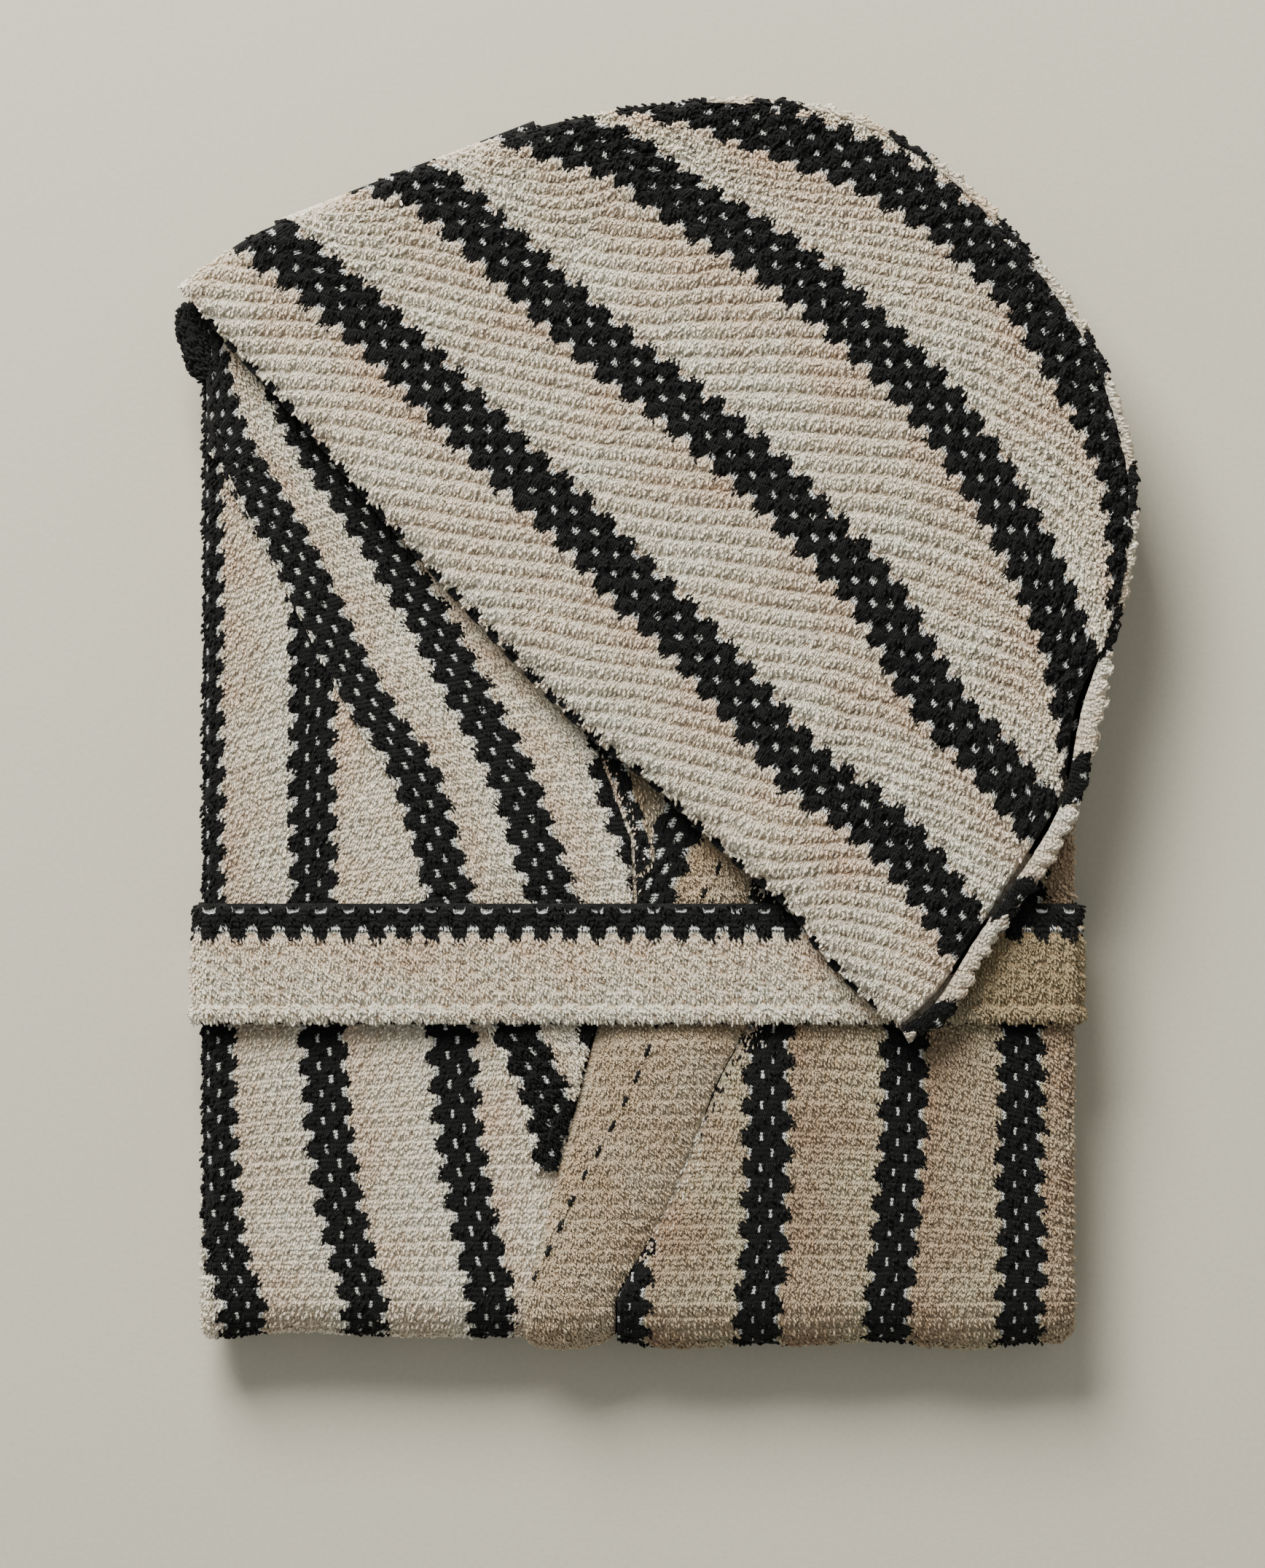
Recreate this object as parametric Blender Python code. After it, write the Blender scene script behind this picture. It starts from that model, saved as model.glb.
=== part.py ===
"""Child's hooded terry bathrobe, folded into a flat bundle with its belt round it.

The robe lies on its back with both sides and sleeves turned behind it and its skirt turned under.
The hood is folded down over the front, and the belt is a band round the whole bundle.
+X is to the right seen from above, +Y is towards the hood, +Z is up, and all sizes are in metres.
"""
import math

import bmesh
import bpy
import numpy as np

# Driving dimensions of the cloth
CLOTH = 0.0026                  # one pressed layer of terry
GAP = 0.0004                    # room between neighbouring layers
BELT_CLOTH = 0.0028             # the belt, a strip folded double and pressed
PITCH = CLOTH + GAP

# Driving dimensions of the folded body
LEFT, RIGHT = -0.1385, 0.1310   # side folds
FOLD_Y = -0.1920                # outer edge of the bottom fold
SIDE_STRIP = 0.046              # how far each front wraps behind the back panel
SKIRT_END_Y = 0.105             # where the turned-under skirt stops
HEM_WIDTH = 0.020
RELIEF = 0.0032                 # the skirt's hollow under the belt

# The belt
BELT_UPPER_Y, BELT_LOWER_Y = -0.0552, -0.0925
BELT_EASE = 0.0006              # room between the belt and the bundle
BELT_CORNER = 0.0050

# The hood, folded down over the front
HOOD_BASE = 0.0335              # its underside at the neck
HOOD_RISE = 0.0036              # how much higher its underside lies where it crosses the belt
HOOD_TOP_Y = 0.1920
FACING_WIDTH = 0.028
FACING_CLOTH = 0.0016
CROWN_SEAM_WIDTH = 0.006

# The stack of layers, counted as depth from the outer face of the bundle
RIGHT_DEPTH = CLOTH / 2
LEFT_DEPTH = RIGHT_DEPTH + PITCH
BACK_DEPTH = LEFT_DEPTH + PITCH
STRIP_DEPTH = BACK_DEPTH + PITCH
SLEEVE_HEIGHT = 2 * CLOTH
SLEEVE_DEPTH = 4 * PITCH + SLEEVE_HEIGHT / 2
BODY_HEIGHT = 8 * PITCH + SLEEVE_HEIGHT + GAP
BODY_TOP = RELIEF + BODY_HEIGHT

FOLD_RADIUS = BODY_HEIGHT / 2
TURN_START = -(FOLD_Y + FOLD_RADIUS)
TURN_LENGTH = math.pi * FOLD_RADIUS
UNDER_START = TURN_START + TURN_LENGTH
SKIRT_END = UNDER_START + SKIRT_END_Y + TURN_START

# Shoulder line, seen from above: the body's top edge as (x, y)
SHOULDER = [(-0.1385, 0.126), (-0.123, 0.144), (-0.079, 0.1630), (-0.034, 0.1775), (0.017, 0.1855),
            (0.058, 0.1815), (0.094, 0.1610), (0.120, 0.128), (0.131, 0.100)]

# Slanted edges of the fronts and the collar, as (y, x)
LEFT_FRONT_EDGE = [(0.154, -0.080), (-0.055, 0.040), (-0.190, 0.040)]
LEFT_COLLAR_SEAM = [(0.128, -0.1380), (0.084, -0.1366), (0.046, -0.1152), (0.001, -0.0918),
                    (-0.019, -0.0792), (-0.0565, -0.0684), (-0.0936, -0.0504), (-0.118, -0.0389),
                    (-0.136, -0.0353)]
LEFT_COLLAR_EDGE = [(0.154, -0.090), (0.110, -0.085), (0.060, -0.045), (-0.0025, -0.0182),
                    (-0.035, -0.0060), (-0.055, -0.0050), (-0.075, -0.0100), (-0.0927, -0.0170),
                    (-0.1157, -0.0232), (-0.136, -0.0290)]
RIGHT_COLLAR_EDGE = [(0.186, 0.020), (0.100, 0.010), (0.040, -0.010), (-0.0025, -0.0172),
                     (-0.035, -0.0050), (-0.055, -0.0040), (-0.075, -0.0090), (-0.0927, -0.0160),
                     (-0.1157, -0.0222), (-0.1386, -0.0284), (-0.1730, -0.0376), (-0.190, -0.0450)]
RIGHT_COLLAR_SEAM = [(0.186, 0.060), (0.100, 0.060), (0.040, 0.046), (-0.055, 0.030),
                     (-0.0934, 0.0299), (-0.1091, 0.0214), (-0.1458, 0.0068), (-0.1811, -0.0128),
                     (-0.190, -0.0200)]

# Outline of the folded hood seen from above, as (x, y)
HOOD_NECK = [(-0.1475, 0.1335), (-0.123, 0.1500), (-0.079, 0.1690), (-0.034, 0.1838)]
HOOD_CROWN = [(0.017, HOOD_TOP_Y), (0.058, 0.1880), (0.094, 0.1680), (0.1255, 0.1330), (0.1430, 0.097),
              (0.1475, 0.066), (0.1445, 0.037), (0.1375, 0.008)]
CROWN_SEAM_UPPER = [(0.1262, -0.0218), (0.1112, -0.0468), (0.0932, -0.0675), (0.0776, -0.0891)]
CROWN_SEAM_LOWER = [(0.1355, -0.0279), (0.1230, -0.0480), (0.1050, -0.0690), (0.0930, -0.0900)]
HOOD_TIP_UPPER, HOOD_TIP_LOWER = (0.0760, -0.0934), (0.0820, -0.0967)
HOOD_OPENING = [(0.0536, -0.0693), (0.0380, -0.0502), (0.0009, -0.0167), (-0.0351, 0.0146),
                (-0.0855, 0.0698), (-0.1316, 0.1210)]

CREAM, BLACK, WHITE = "#cfc6b4", "#141517", "#e4e6e4"


def remove_everything():
    for obj in list(bpy.data.objects):
        bpy.data.objects.remove(obj, do_unlink=True)


def linear(hex_colour):
    """sRGB hex colour as linear RGBA."""
    parts = [int(hex_colour[i:i + 2], 16) / 255 for i in (1, 3, 5)]
    return [c / 12.92 if c <= 0.04045 else ((c + 0.055) / 1.055) ** 2.4 for c in parts] + [1.0]


def cloth_material(name, colour):
    material = bpy.data.materials.new(name)
    material.use_nodes = True
    shader = material.node_tree.nodes["Principled BSDF"]
    shader.inputs["Base Color"].default_value = linear(colour)
    shader.inputs["Roughness"].default_value = 0.95
    shader.inputs["Metallic"].default_value = 0.0
    return material


def add_object(name, vertices, faces, colour):
    """Make a mesh object whose faces all point outwards."""
    mesh = bpy.data.meshes.new(name)
    mesh.from_pydata([tuple(v) for v in vertices], [], faces)
    work = bmesh.new()
    work.from_mesh(mesh)
    bmesh.ops.recalc_face_normals(work, faces=work.faces)
    work.to_mesh(mesh)
    work.free()
    obj = bpy.data.objects.new(name, mesh)
    bpy.context.scene.collection.objects.link(obj)
    mesh.materials.append(cloth_material(name, colour))
    return obj


def two_faced(name, outer, inner, colour):
    """Close two equal grids of points, the outer and inner face of a cloth, along their rim."""
    rows, cols = outer.shape[:2]
    count = rows * cols
    index = np.arange(count).reshape(rows, cols)
    faces = []
    for r in range(rows - 1):
        for c in range(cols - 1):
            quad = [index[r, c], index[r, c + 1], index[r + 1, c + 1], index[r + 1, c]]
            faces.append([int(i) for i in quad])
            faces.append([int(i) + count for i in reversed(quad)])
    rim = [*index[0, :], *index[1:, -1], *index[-1, -2::-1], *index[-2:0:-1, 0]]
    for a, b in zip(rim, rim[1:] + rim[:1]):
        faces.append([int(b), int(a), int(a) + count, int(b) + count])
    points = np.concatenate([outer.reshape(-1, 3), inner.reshape(-1, 3)])
    return add_object(name, points, faces, colour)


def interpolate(pairs):
    """Function that runs straight between the given (position, value) pairs."""
    ordered = sorted(pairs)
    places = np.array([p[0] for p in ordered])
    values = np.array([p[1] for p in ordered])
    return lambda at: np.interp(at, places, values)


def smooth_curve(points, steps=5):
    """Catmull-Rom curve through an open row of points."""
    p = np.array(points)
    p = np.vstack([2 * p[0] - p[1], p, 2 * p[-1] - p[-2]])
    t = np.linspace(0, 1, steps, endpoint=False)[:, None]
    runs = []
    for a, b, c, d in zip(p, p[1:], p[2:], p[3:]):
        runs.append(0.5 * (2 * b + (c - a) * t + (2 * a - 5 * b + 4 * c - d) * t ** 2
                           + (3 * b - a - 3 * c + d) * t ** 3))
    return np.vstack(runs + [p[-2]])


def folded(x, s, depth):
    """Place a point of the stack: s runs down the front, round the bottom fold and back under."""
    angle = np.clip((s - TURN_START) / TURN_LENGTH, 0, 1) * np.pi
    radius = FOLD_RADIUS - depth
    under = np.maximum(s - UNDER_START, 0)
    y = under - np.minimum(s, TURN_START) - radius * np.sin(angle)
    ramp = np.clip((y - BELT_UPPER_Y - 0.004) / 0.008, 0, 1) * (under > 0)
    z = RELIEF + FOLD_RADIUS + radius * np.cos(angle) - RELIEF * ramp * ramp * (3 - 2 * ramp)
    return np.stack([x + 0 * s, y + 0 * x, z + 0 * x], axis=-1)


shoulder_y = interpolate([(x, y) for x, y in smooth_curve(SHOULDER)])
TOP_ROW = -0.186


def row_positions(end):
    """Values of s for the rows of a layer, closer together round the fold and the belt's hollow."""
    stops = [np.linspace(TOP_ROW, TURN_START, 13)]
    if end > TURN_START:
        stops.append(np.linspace(TURN_START, UNDER_START, 9)[1:])
        hollow = UNDER_START + TURN_START + BELT_UPPER_Y
        stops.append(np.array([hollow, hollow + 0.004, hollow + 0.008, hollow + 0.012, hollow + 0.03]))
    rows = np.concatenate(stops)
    return np.append(rows[rows < end - 0.001], end)


def layer(name, colour, profile, end, start=TOP_ROW):
    """Lay one cloth in the stack; profile(s) gives its section as x, depth and their normals."""
    rows = row_positions(end)
    rows = np.append(start, rows[rows > start + 0.001])
    outer, inner = [], []
    for s in rows:
        x, depth, normal_x, normal_depth = profile(s)
        part = max(0.0, (TURN_START - s) / (TURN_START - TOP_ROW))
        at = s - part * (shoulder_y(x) + TOP_ROW) if s < TURN_START else s + 0 * x
        half = CLOTH / 2
        outer.append(folded(x + half * normal_x, at, depth + half * normal_depth))
        inner.append(folded(x - half * normal_x, at, depth - half * normal_depth))
    return two_faced(name, np.array(outer), np.array(inner), colour)


def flat_profile(left_edge, right_edge, depth, columns=9):
    """Section of a layer that lies flat between two edges, each a function of y on the front."""
    def profile(s):
        y = max(-s, -TURN_START)
        x = np.linspace(left_edge(y), right_edge(y), columns)
        return x, np.full(columns, depth), np.zeros(columns), -np.ones(columns)
    return profile


def wrapped_profile(free_edge, side, depth):
    """Section of a front: flat from its free edge, round the side fold and under the back panel."""
    inward = 1 if side < 0 else -1
    radius = (STRIP_DEPTH - depth) / 2
    centre = side + inward * (radius + CLOTH / 2)
    turn = np.linspace(0, np.pi, 7)

    def profile(s):
        y = max(-s, -TURN_START)
        flat = np.linspace(free_edge(y), centre, 7)[:-1]
        strip = np.linspace(centre, side + inward * SIDE_STRIP, 4)[1:]
        x = np.concatenate([flat, centre - inward * radius * np.sin(turn), strip])
        depths = np.concatenate([np.full(6, depth), depth + radius - radius * np.cos(turn),
                                 np.full(3, STRIP_DEPTH)])
        normal_x = np.concatenate([np.zeros(6), -inward * np.sin(turn), np.zeros(3)])
        normal_depth = np.concatenate([-np.ones(6), -np.cos(turn), np.ones(3)])
        return x, depths, normal_x, normal_depth
    return profile


def shifted(edge, distance):
    return lambda y: edge(y) + distance


def constant(value):
    return lambda y: value


def body_panels():
    """The back and the two fronts, which go round the bottom fold together."""
    right_edge = shifted(interpolate(RIGHT_COLLAR_SEAM), GAP)
    layer("right_front", CREAM, wrapped_profile(right_edge, RIGHT, RIGHT_DEPTH), SKIRT_END)
    left_edge = interpolate(LEFT_FRONT_EDGE)
    layer("left_front", CREAM, wrapped_profile(left_edge, LEFT, LEFT_DEPTH), SKIRT_END)
    back = flat_profile(constant(LEFT + 0.0042), constant(RIGHT - 0.0052), BACK_DEPTH)
    layer("back_panel", CREAM, back, SKIRT_END)


def collar():
    """The two halves of the shawl collar, turned back over the fronts."""
    seam, edge = interpolate(LEFT_COLLAR_SEAM), interpolate(LEFT_COLLAR_EDGE)
    layer("left_collar", BLACK, flat_profile(seam, edge, RIGHT_DEPTH, 5), 0.136)
    edge, seam = interpolate(RIGHT_COLLAR_EDGE), interpolate(RIGHT_COLLAR_SEAM)
    layer("right_collar", CREAM, flat_profile(edge, seam, RIGHT_DEPTH, 5), UNDER_START + 0.06)


def hems():
    """The turned hems at the end of the skirt, which lies under the bundle."""
    start, end = SKIRT_END + GAP, SKIRT_END + HEM_WIDTH
    right = flat_profile(constant(-0.019), constant(RIGHT - 0.006), RIGHT_DEPTH)
    layer("right_hem", CREAM, right, end, start)
    left = flat_profile(constant(LEFT + 0.006), constant(0.040), LEFT_DEPTH)
    layer("left_hem", CREAM, left, end, start)
    back = flat_profile(constant(LEFT + 0.006), constant(RIGHT - 0.006), BACK_DEPTH)
    layer("back_hem", CREAM, back, end, start)


def stadium(width, height, count):
    """Rounded-end section of a flattened tube, as (across, up)."""
    radius = height / 2
    turn = np.linspace(-np.pi / 2, np.pi / 2, count)
    right = np.stack([width / 2 - radius + radius * np.cos(turn), radius * np.sin(turn)], axis=1)
    return np.vstack([right, -right])


def flat_tube(name, colour, centre_x, width, y_from, y_to, depth):
    """A flattened sleeve or cuff: a wall of cloth round a thin slit, open at both ends."""
    outer = stadium(width, SLEEVE_HEIGHT, 6)
    inner = stadium(width - 2 * CLOTH, 0.0012, 6)
    rings = []
    for section, y in ((outer, y_from), (outer, y_to), (inner, y_to), (inner, y_from)):
        ring = np.zeros((len(section), 3))
        ring[:, 0] = centre_x + section[:, 0]
        ring[:, 1] = y
        ring[:, 2] = BODY_TOP - depth + section[:, 1]
        rings.append(ring)
    return closed_band(name, rings, colour)


def closed_band(name, rings, colour):
    """Join four rings of points, taken in order round the section, into one hollow band."""
    count = len(rings[0])
    faces = []
    for r in range(4):
        for i in range(count):
            j = (i + 1) % count
            after = (r + 1) % 4
            faces.append([r * count + i, r * count + j, after * count + j, after * count + i])
    return add_object(name, np.vstack(rings), faces, colour)


def sleeves():
    """Both sleeves, pressed flat behind the back panel, each with its turned cuff."""
    width, cuff_length = 0.116, 0.038
    for side, centre_x in (("left", -0.0680), ("right", 0.0610)):
        flat_tube(side + "_sleeve", CREAM, centre_x, width, 0.120, -0.110, SLEEVE_DEPTH)
        flat_tube(side + "_cuff", CREAM, centre_x, width, -0.110 - GAP, -0.110 - cuff_length, SLEEVE_DEPTH)


def rounded_loop(width, height, corner, count=5):
    """Closed rounded rectangle about the origin, with the outward normal at each point."""
    points, normals = [], []
    for quarter in range(4):
        angle = np.linspace(0, np.pi / 2, count) + quarter * np.pi / 2
        sign = np.array([1 if quarter in (0, 3) else -1, 1 if quarter in (0, 1) else -1])
        centre = sign * np.array([width / 2 - corner, height / 2 - corner])
        direction = np.stack([np.cos(angle), np.sin(angle)], axis=1)
        points.append(centre + corner * direction)
        normals.append(direction)
    return np.vstack(points), np.vstack(normals)


def belt():
    """The belt: a flat band right round the bundle, square to the fronts."""
    half = BELT_CLOTH / 2
    low, high = half, BODY_TOP + BELT_EASE + half
    west, east = LEFT - BELT_EASE - half, RIGHT + BELT_EASE + half
    path, normal = rounded_loop(east - west, high - low, BELT_CORNER)
    path += [(east + west) / 2, (high + low) / 2]
    rings = []
    for offset, y in ((half, BELT_LOWER_Y), (half, BELT_UPPER_Y), (-half, BELT_UPPER_Y), (-half, BELT_LOWER_Y)):
        ring = path + offset * normal
        rings.append(np.stack([ring[:, 0], np.full(len(ring), y), ring[:, 1]], axis=1))
    closed_band("belt", rings, CREAM)


def belt_loops():
    """A narrow flattened loop at each side seam, at the height of the belt."""
    length, height, width, wall = 0.048, 0.0024, 0.006, 0.0008
    middle_y = (BELT_UPPER_Y + BELT_LOWER_Y) / 2
    path, normal = rounded_loop(length - wall, height - wall, (height - wall) / 2 - 0.00001)
    for side, x in (("left", LEFT + SIDE_STRIP + GAP), ("right", RIGHT - SIDE_STRIP - GAP - width)):
        rings = []
        for offset, at in ((wall / 2, x), (wall / 2, x + width), (-wall / 2, x + width), (-wall / 2, x)):
            ring = path + offset * normal
            rings.append(np.stack([np.full(len(ring), at), middle_y + ring[:, 0],
                                   BODY_TOP - STRIP_DEPTH + ring[:, 1]], axis=1))
        closed_band(side + "_belt_loop", rings, CREAM)


def along(points, width, side):
    """Two rows of points: a path, and the same path moved sideways by the width."""
    p = np.array(points)
    direction = np.gradient(p, axis=0)
    direction /= np.linalg.norm(direction, axis=1)[:, None]
    sideways = side * np.stack([-direction[:, 1], direction[:, 0]], axis=1)
    return p, p + width * sideways


def neck():
    """The tape over the neck seam, and the hanger loop sewn under it."""
    x = np.linspace(-0.072, 0.002, 9)
    upper, lower = along(np.stack([x, shoulder_y(x) - 0.004], axis=1), 0.012, -1)
    high, low = BODY_TOP - PITCH - 0.0002, BODY_TOP - PITCH - 0.0018
    grid = np.stack([upper, lower])
    outer = np.dstack([grid, np.full(grid.shape[:2], high)])
    inner = np.dstack([grid, np.full(grid.shape[:2], low)])
    two_faced("neck_tape", outer, inner, CREAM)

    curve = bpy.data.curves.new("hanger_loop", "CURVE")
    curve.dimensions = "3D"
    curve.bevel_depth, curve.bevel_resolution, curve.use_fill_caps = 0.0009, 2, True
    spline = curve.splines.new("POLY")
    turn = np.linspace(0, np.pi, 13)
    spline.points.add(len(turn) - 1)
    for point, angle in zip(spline.points, turn):
        across = 0.019 * math.cos(angle)
        down = 0.013 * math.sin(angle)
        point.co = (-0.036 + 0.94 * across + 0.34 * down, 0.1545 + 0.34 * across - 0.94 * down,
                    (high + low) / 2, 1)
    loop = bpy.data.objects.new("hanger_loop", curve)
    bpy.context.scene.collection.objects.link(loop)
    curve.materials.append(cloth_material("hanger_loop", WHITE))


def hood_underside(y):
    """Height of the hood's underside, which climbs evenly towards the belt."""
    return HOOD_BASE + HOOD_RISE * (HOOD_TOP_Y - y) / (HOOD_TOP_Y - BELT_UPPER_Y)


def hood_slab(name, colour, outline, low, high):
    """A flat panel of the hood, its two faces held at two heights over the hood's underside."""
    p = np.array(outline)
    count = len(p)
    base = hood_underside(p[:, 1])
    points = np.vstack([np.column_stack([p, base + low]), np.column_stack([p, base + high])])
    faces = [list(range(count))[::-1], list(range(count, 2 * count))]
    faces += [[i, (i + 1) % count, (i + 1) % count + count, i + count] for i in range(count)]
    add_object(name, points, faces, colour)


def hood():
    """Two halves joined by the crown seam, each with its facing turned in at the opening."""
    low = CLOTH + GAP
    middle = low + FACING_CLOTH + GAP
    top = middle + FACING_CLOTH + GAP
    crown = smooth_curve(HOOD_NECK + HOOD_CROWN)
    lower_seam = smooth_curve(CROWN_SEAM_LOWER + [HOOD_TIP_LOWER])
    upper_seam = smooth_curve(CROWN_SEAM_UPPER + [HOOD_TIP_UPPER])
    opening = smooth_curve(HOOD_OPENING)
    hood_slab("hood_lower_half", CREAM, np.vstack([crown, lower_seam, opening]), 0, CLOTH)
    hood_slab("hood_upper_half", CREAM, np.vstack([crown, upper_seam, opening]), top, top + CLOTH)

    near, far = along(opening[2:-4], FACING_WIDTH, -1)
    band = np.vstack([near, far[::-1]])
    hood_slab("hood_lower_facing", BLACK, band, low, low + FACING_CLOTH)
    hood_slab("hood_upper_facing", BLACK, band, middle, middle + FACING_CLOTH)

    seam = smooth_curve(HOOD_CROWN + CROWN_SEAM_UPPER)
    near, far = along(seam, CROWN_SEAM_WIDTH, -1)
    hood_slab("crown_seam", CREAM, np.vstack([near, far[::-1]]), low, top - GAP)


def main():
    remove_everything()
    body_panels()
    collar()
    hems()
    sleeves()
    belt()
    belt_loops()
    neck()
    hood()


main()
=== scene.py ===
# %% [markdown]
# # A child's hooded bathrobe, folded into a bundle
# The robe is looped terry cloth, cream with black stripes. It lies on its back with its skirt turned
# under, its hood folded down over the front and its belt round the bundle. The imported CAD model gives
# every place and size, and this script gives each piece its cloth: a soft shape, a woven relief that
# is real geometry, and a terry material that follows the weave.

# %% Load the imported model
import math

import bpy
import numpy as np
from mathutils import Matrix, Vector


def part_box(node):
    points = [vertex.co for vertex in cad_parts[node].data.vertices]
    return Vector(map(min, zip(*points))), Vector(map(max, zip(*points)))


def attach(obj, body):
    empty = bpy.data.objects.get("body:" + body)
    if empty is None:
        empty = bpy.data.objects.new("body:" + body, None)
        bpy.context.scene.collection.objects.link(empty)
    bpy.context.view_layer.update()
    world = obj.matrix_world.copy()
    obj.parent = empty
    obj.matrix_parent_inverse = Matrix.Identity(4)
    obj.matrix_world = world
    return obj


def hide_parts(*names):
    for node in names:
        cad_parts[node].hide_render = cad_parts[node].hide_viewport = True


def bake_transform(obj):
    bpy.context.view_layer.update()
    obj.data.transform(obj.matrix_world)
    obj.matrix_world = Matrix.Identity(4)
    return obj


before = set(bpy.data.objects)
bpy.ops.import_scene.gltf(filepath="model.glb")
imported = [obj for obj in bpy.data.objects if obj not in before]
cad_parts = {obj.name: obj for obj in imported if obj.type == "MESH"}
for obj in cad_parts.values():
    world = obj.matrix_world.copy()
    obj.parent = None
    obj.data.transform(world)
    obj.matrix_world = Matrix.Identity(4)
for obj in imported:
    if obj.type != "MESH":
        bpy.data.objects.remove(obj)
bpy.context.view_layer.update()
MM = 0.001

# %% [markdown]
# ## Sizes read from the model
# Working in millimetres keeps cloth sizes readable. The folds, the belt and the top of the bundle are
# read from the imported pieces, so the cloth lands exactly where its CAD layer is.

# %% Sizes in millimetres


def extent(node, axis):
    """Lowest and highest value of a CAD node along one axis, in millimetres."""
    low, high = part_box(node)
    return low[axis] / MM, high[axis] / MM


LEFT = extent("left_front", 0)[0]
RIGHT = extent("right_front", 0)[1]
FOLD_Y = extent("right_front", 1)[0]
BODY_TOP = extent("right_front", 2)[1]
BELT_LOWER, BELT_UPPER = extent("belt", 1)
BELT_WEST, BELT_EAST = extent("belt", 0)
BELT_LOW, BELT_HIGH = extent("belt", 2)
CLOTH, GAP = 2.6, 0.4    # one layer of pressed cloth, and the gap to the next
RELIEF = 3.2             # how far the belt lifts the turned-under skirt
BODY_HEIGHT = BODY_TOP - RELIEF
FOLD_RADIUS = BODY_HEIGHT / 2
TURN_START = -(FOLD_Y + FOLD_RADIUS)
TURN_LENGTH = math.pi * FOLD_RADIUS
UNDER_START = TURN_START + TURN_LENGTH
SKIRT_END = UNDER_START + 105.0 + TURN_START
TOP_ROW = -186.0
RIGHT_DEPTH, LEFT_DEPTH, BACK_DEPTH, STRIP_DEPTH = 1.3, 4.3, 7.3, 10.3     # middle of each layer
SIDE_STRIP = 46.0        # how far a front reaches in behind the back panel
HOOD_BASE, HOOD_RISE, HOOD_TOP_Y = 33.5, 3.6, 192.0
print("bundle", round(RIGHT - LEFT, 1), "wide, top at", round(BODY_TOP, 1))

# %% [markdown]
# ## Small tools for curves and surfaces
# A seam or a stripe on a folded robe is a free curve. A few points and a Catmull-Rom curve through
# them give one that is smooth and easy to change. The other tools measure how far a point is from
# such a curve, and stretch a grid of points between four of them.

# %% Curves


def smooth_curve(points, steps=8):
    """Catmull-Rom: between b and c, 0.5(2b + (c-a)t + (2a-5b+4c-d)t^2 + (3b-a-3c+d)t^3)."""
    p = np.array(points, float)
    p = np.vstack([2 * p[0] - p[1], p, 2 * p[-1] - p[-2]])
    t = np.linspace(0, 1, steps, endpoint=False)[None, :, None]
    a, b, c, d = (p[i:len(p) - 3 + i, None, :] for i in range(4))
    runs = 0.5 * (2 * b + (c - a) * t + (2 * a - 5 * b + 4 * c - d) * t ** 2
                  + (3 * b - a - 3 * c + d) * t ** 3)
    return np.vstack([runs.reshape(-1, p.shape[1]), p[-2]])


def even_points(points, count):
    """The same path cut into points at equal distances along it."""
    p = np.array(points, float)
    length = np.concatenate([[0], np.cumsum(np.linalg.norm(np.diff(p, axis=0), axis=1))])
    at = np.linspace(0, length[-1], count)
    return np.stack([np.interp(at, length, p[:, i]) for i in range(p.shape[1])], axis=1)


def path_length(points):
    """Sum of the distances between neighbouring points."""
    return float(np.linalg.norm(np.diff(points, axis=0), axis=1).sum())


def between(pairs):
    """Function that runs smoothly through (position, value) pairs."""
    curve = smooth_curve(sorted(pairs), 6)
    return lambda at: np.interp(at, curve[:, 0], curve[:, 1])


def straight(pairs):
    """Function that runs straight between (position, value) pairs."""
    p = np.array(sorted(pairs), float)
    return lambda at: np.interp(at, p[:, 0], p[:, 1])


def smoothstep(x, low, high):
    """0 below low, 1 above high, 3t^2 - 2t^3 between."""
    t = np.clip((x - low) / (high - low), 0, 1)
    return t * t * (3 - 2 * t)


# %% Distance from a curve


def nearest_on(x, y, curve):
    """For each point (x, y), its distance from a curve, positive on the left as one goes along it,
    and how far along the curve its nearest point is."""
    start, step = curve[:-1], np.diff(curve, axis=0)
    size = (step ** 2).sum(axis=1)
    away_x = x.ravel()[:, None] - start[:, 0]
    away_y = y.ravel()[:, None] - start[:, 1]
    t = np.clip((away_x * step[:, 0] + away_y * step[:, 1]) / size, 0, 1)
    gap_x, gap_y = away_x - t * step[:, 0], away_y - t * step[:, 1]
    distance = np.hypot(gap_x, gap_y)
    nearest = distance.argmin(axis=1)
    rows = np.arange(len(nearest))
    turn = step[nearest, 0] * away_y[rows, nearest] - step[nearest, 1] * away_x[rows, nearest]
    lengths = np.sqrt(size)
    passed = np.concatenate([[0], np.cumsum(lengths)[:-1]])[nearest] + (t * lengths)[rows, nearest]
    signed = np.where(turn >= 0, 1, -1) * distance[rows, nearest]
    return signed.reshape(x.shape), passed.reshape(x.shape)


def side_distance(x, y, curve):
    """Only the signed distance of nearest_on."""
    return nearest_on(x, y, curve)[0]


# %% Patches and unevenness


def four_sided_patch(start, end, low, high):
    """Coons patch: the blend of two opposite pairs of curves less the blend of the corners.

    start and end run with t at s = 0 and s = 1, low and high run with s at t = 0 and t = 1.
    """
    t = np.linspace(0, 1, len(start))[None, :, None]
    s = np.linspace(0, 1, len(low))[:, None, None]
    corners = ((1 - s) * (1 - t) * start[0] + (1 - s) * t * start[-1]
               + s * (1 - t) * end[0] + s * t * end[-1])
    return (1 - s) * start + s * end + (1 - t) * low[:, None] + t * high[:, None] - corners


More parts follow.
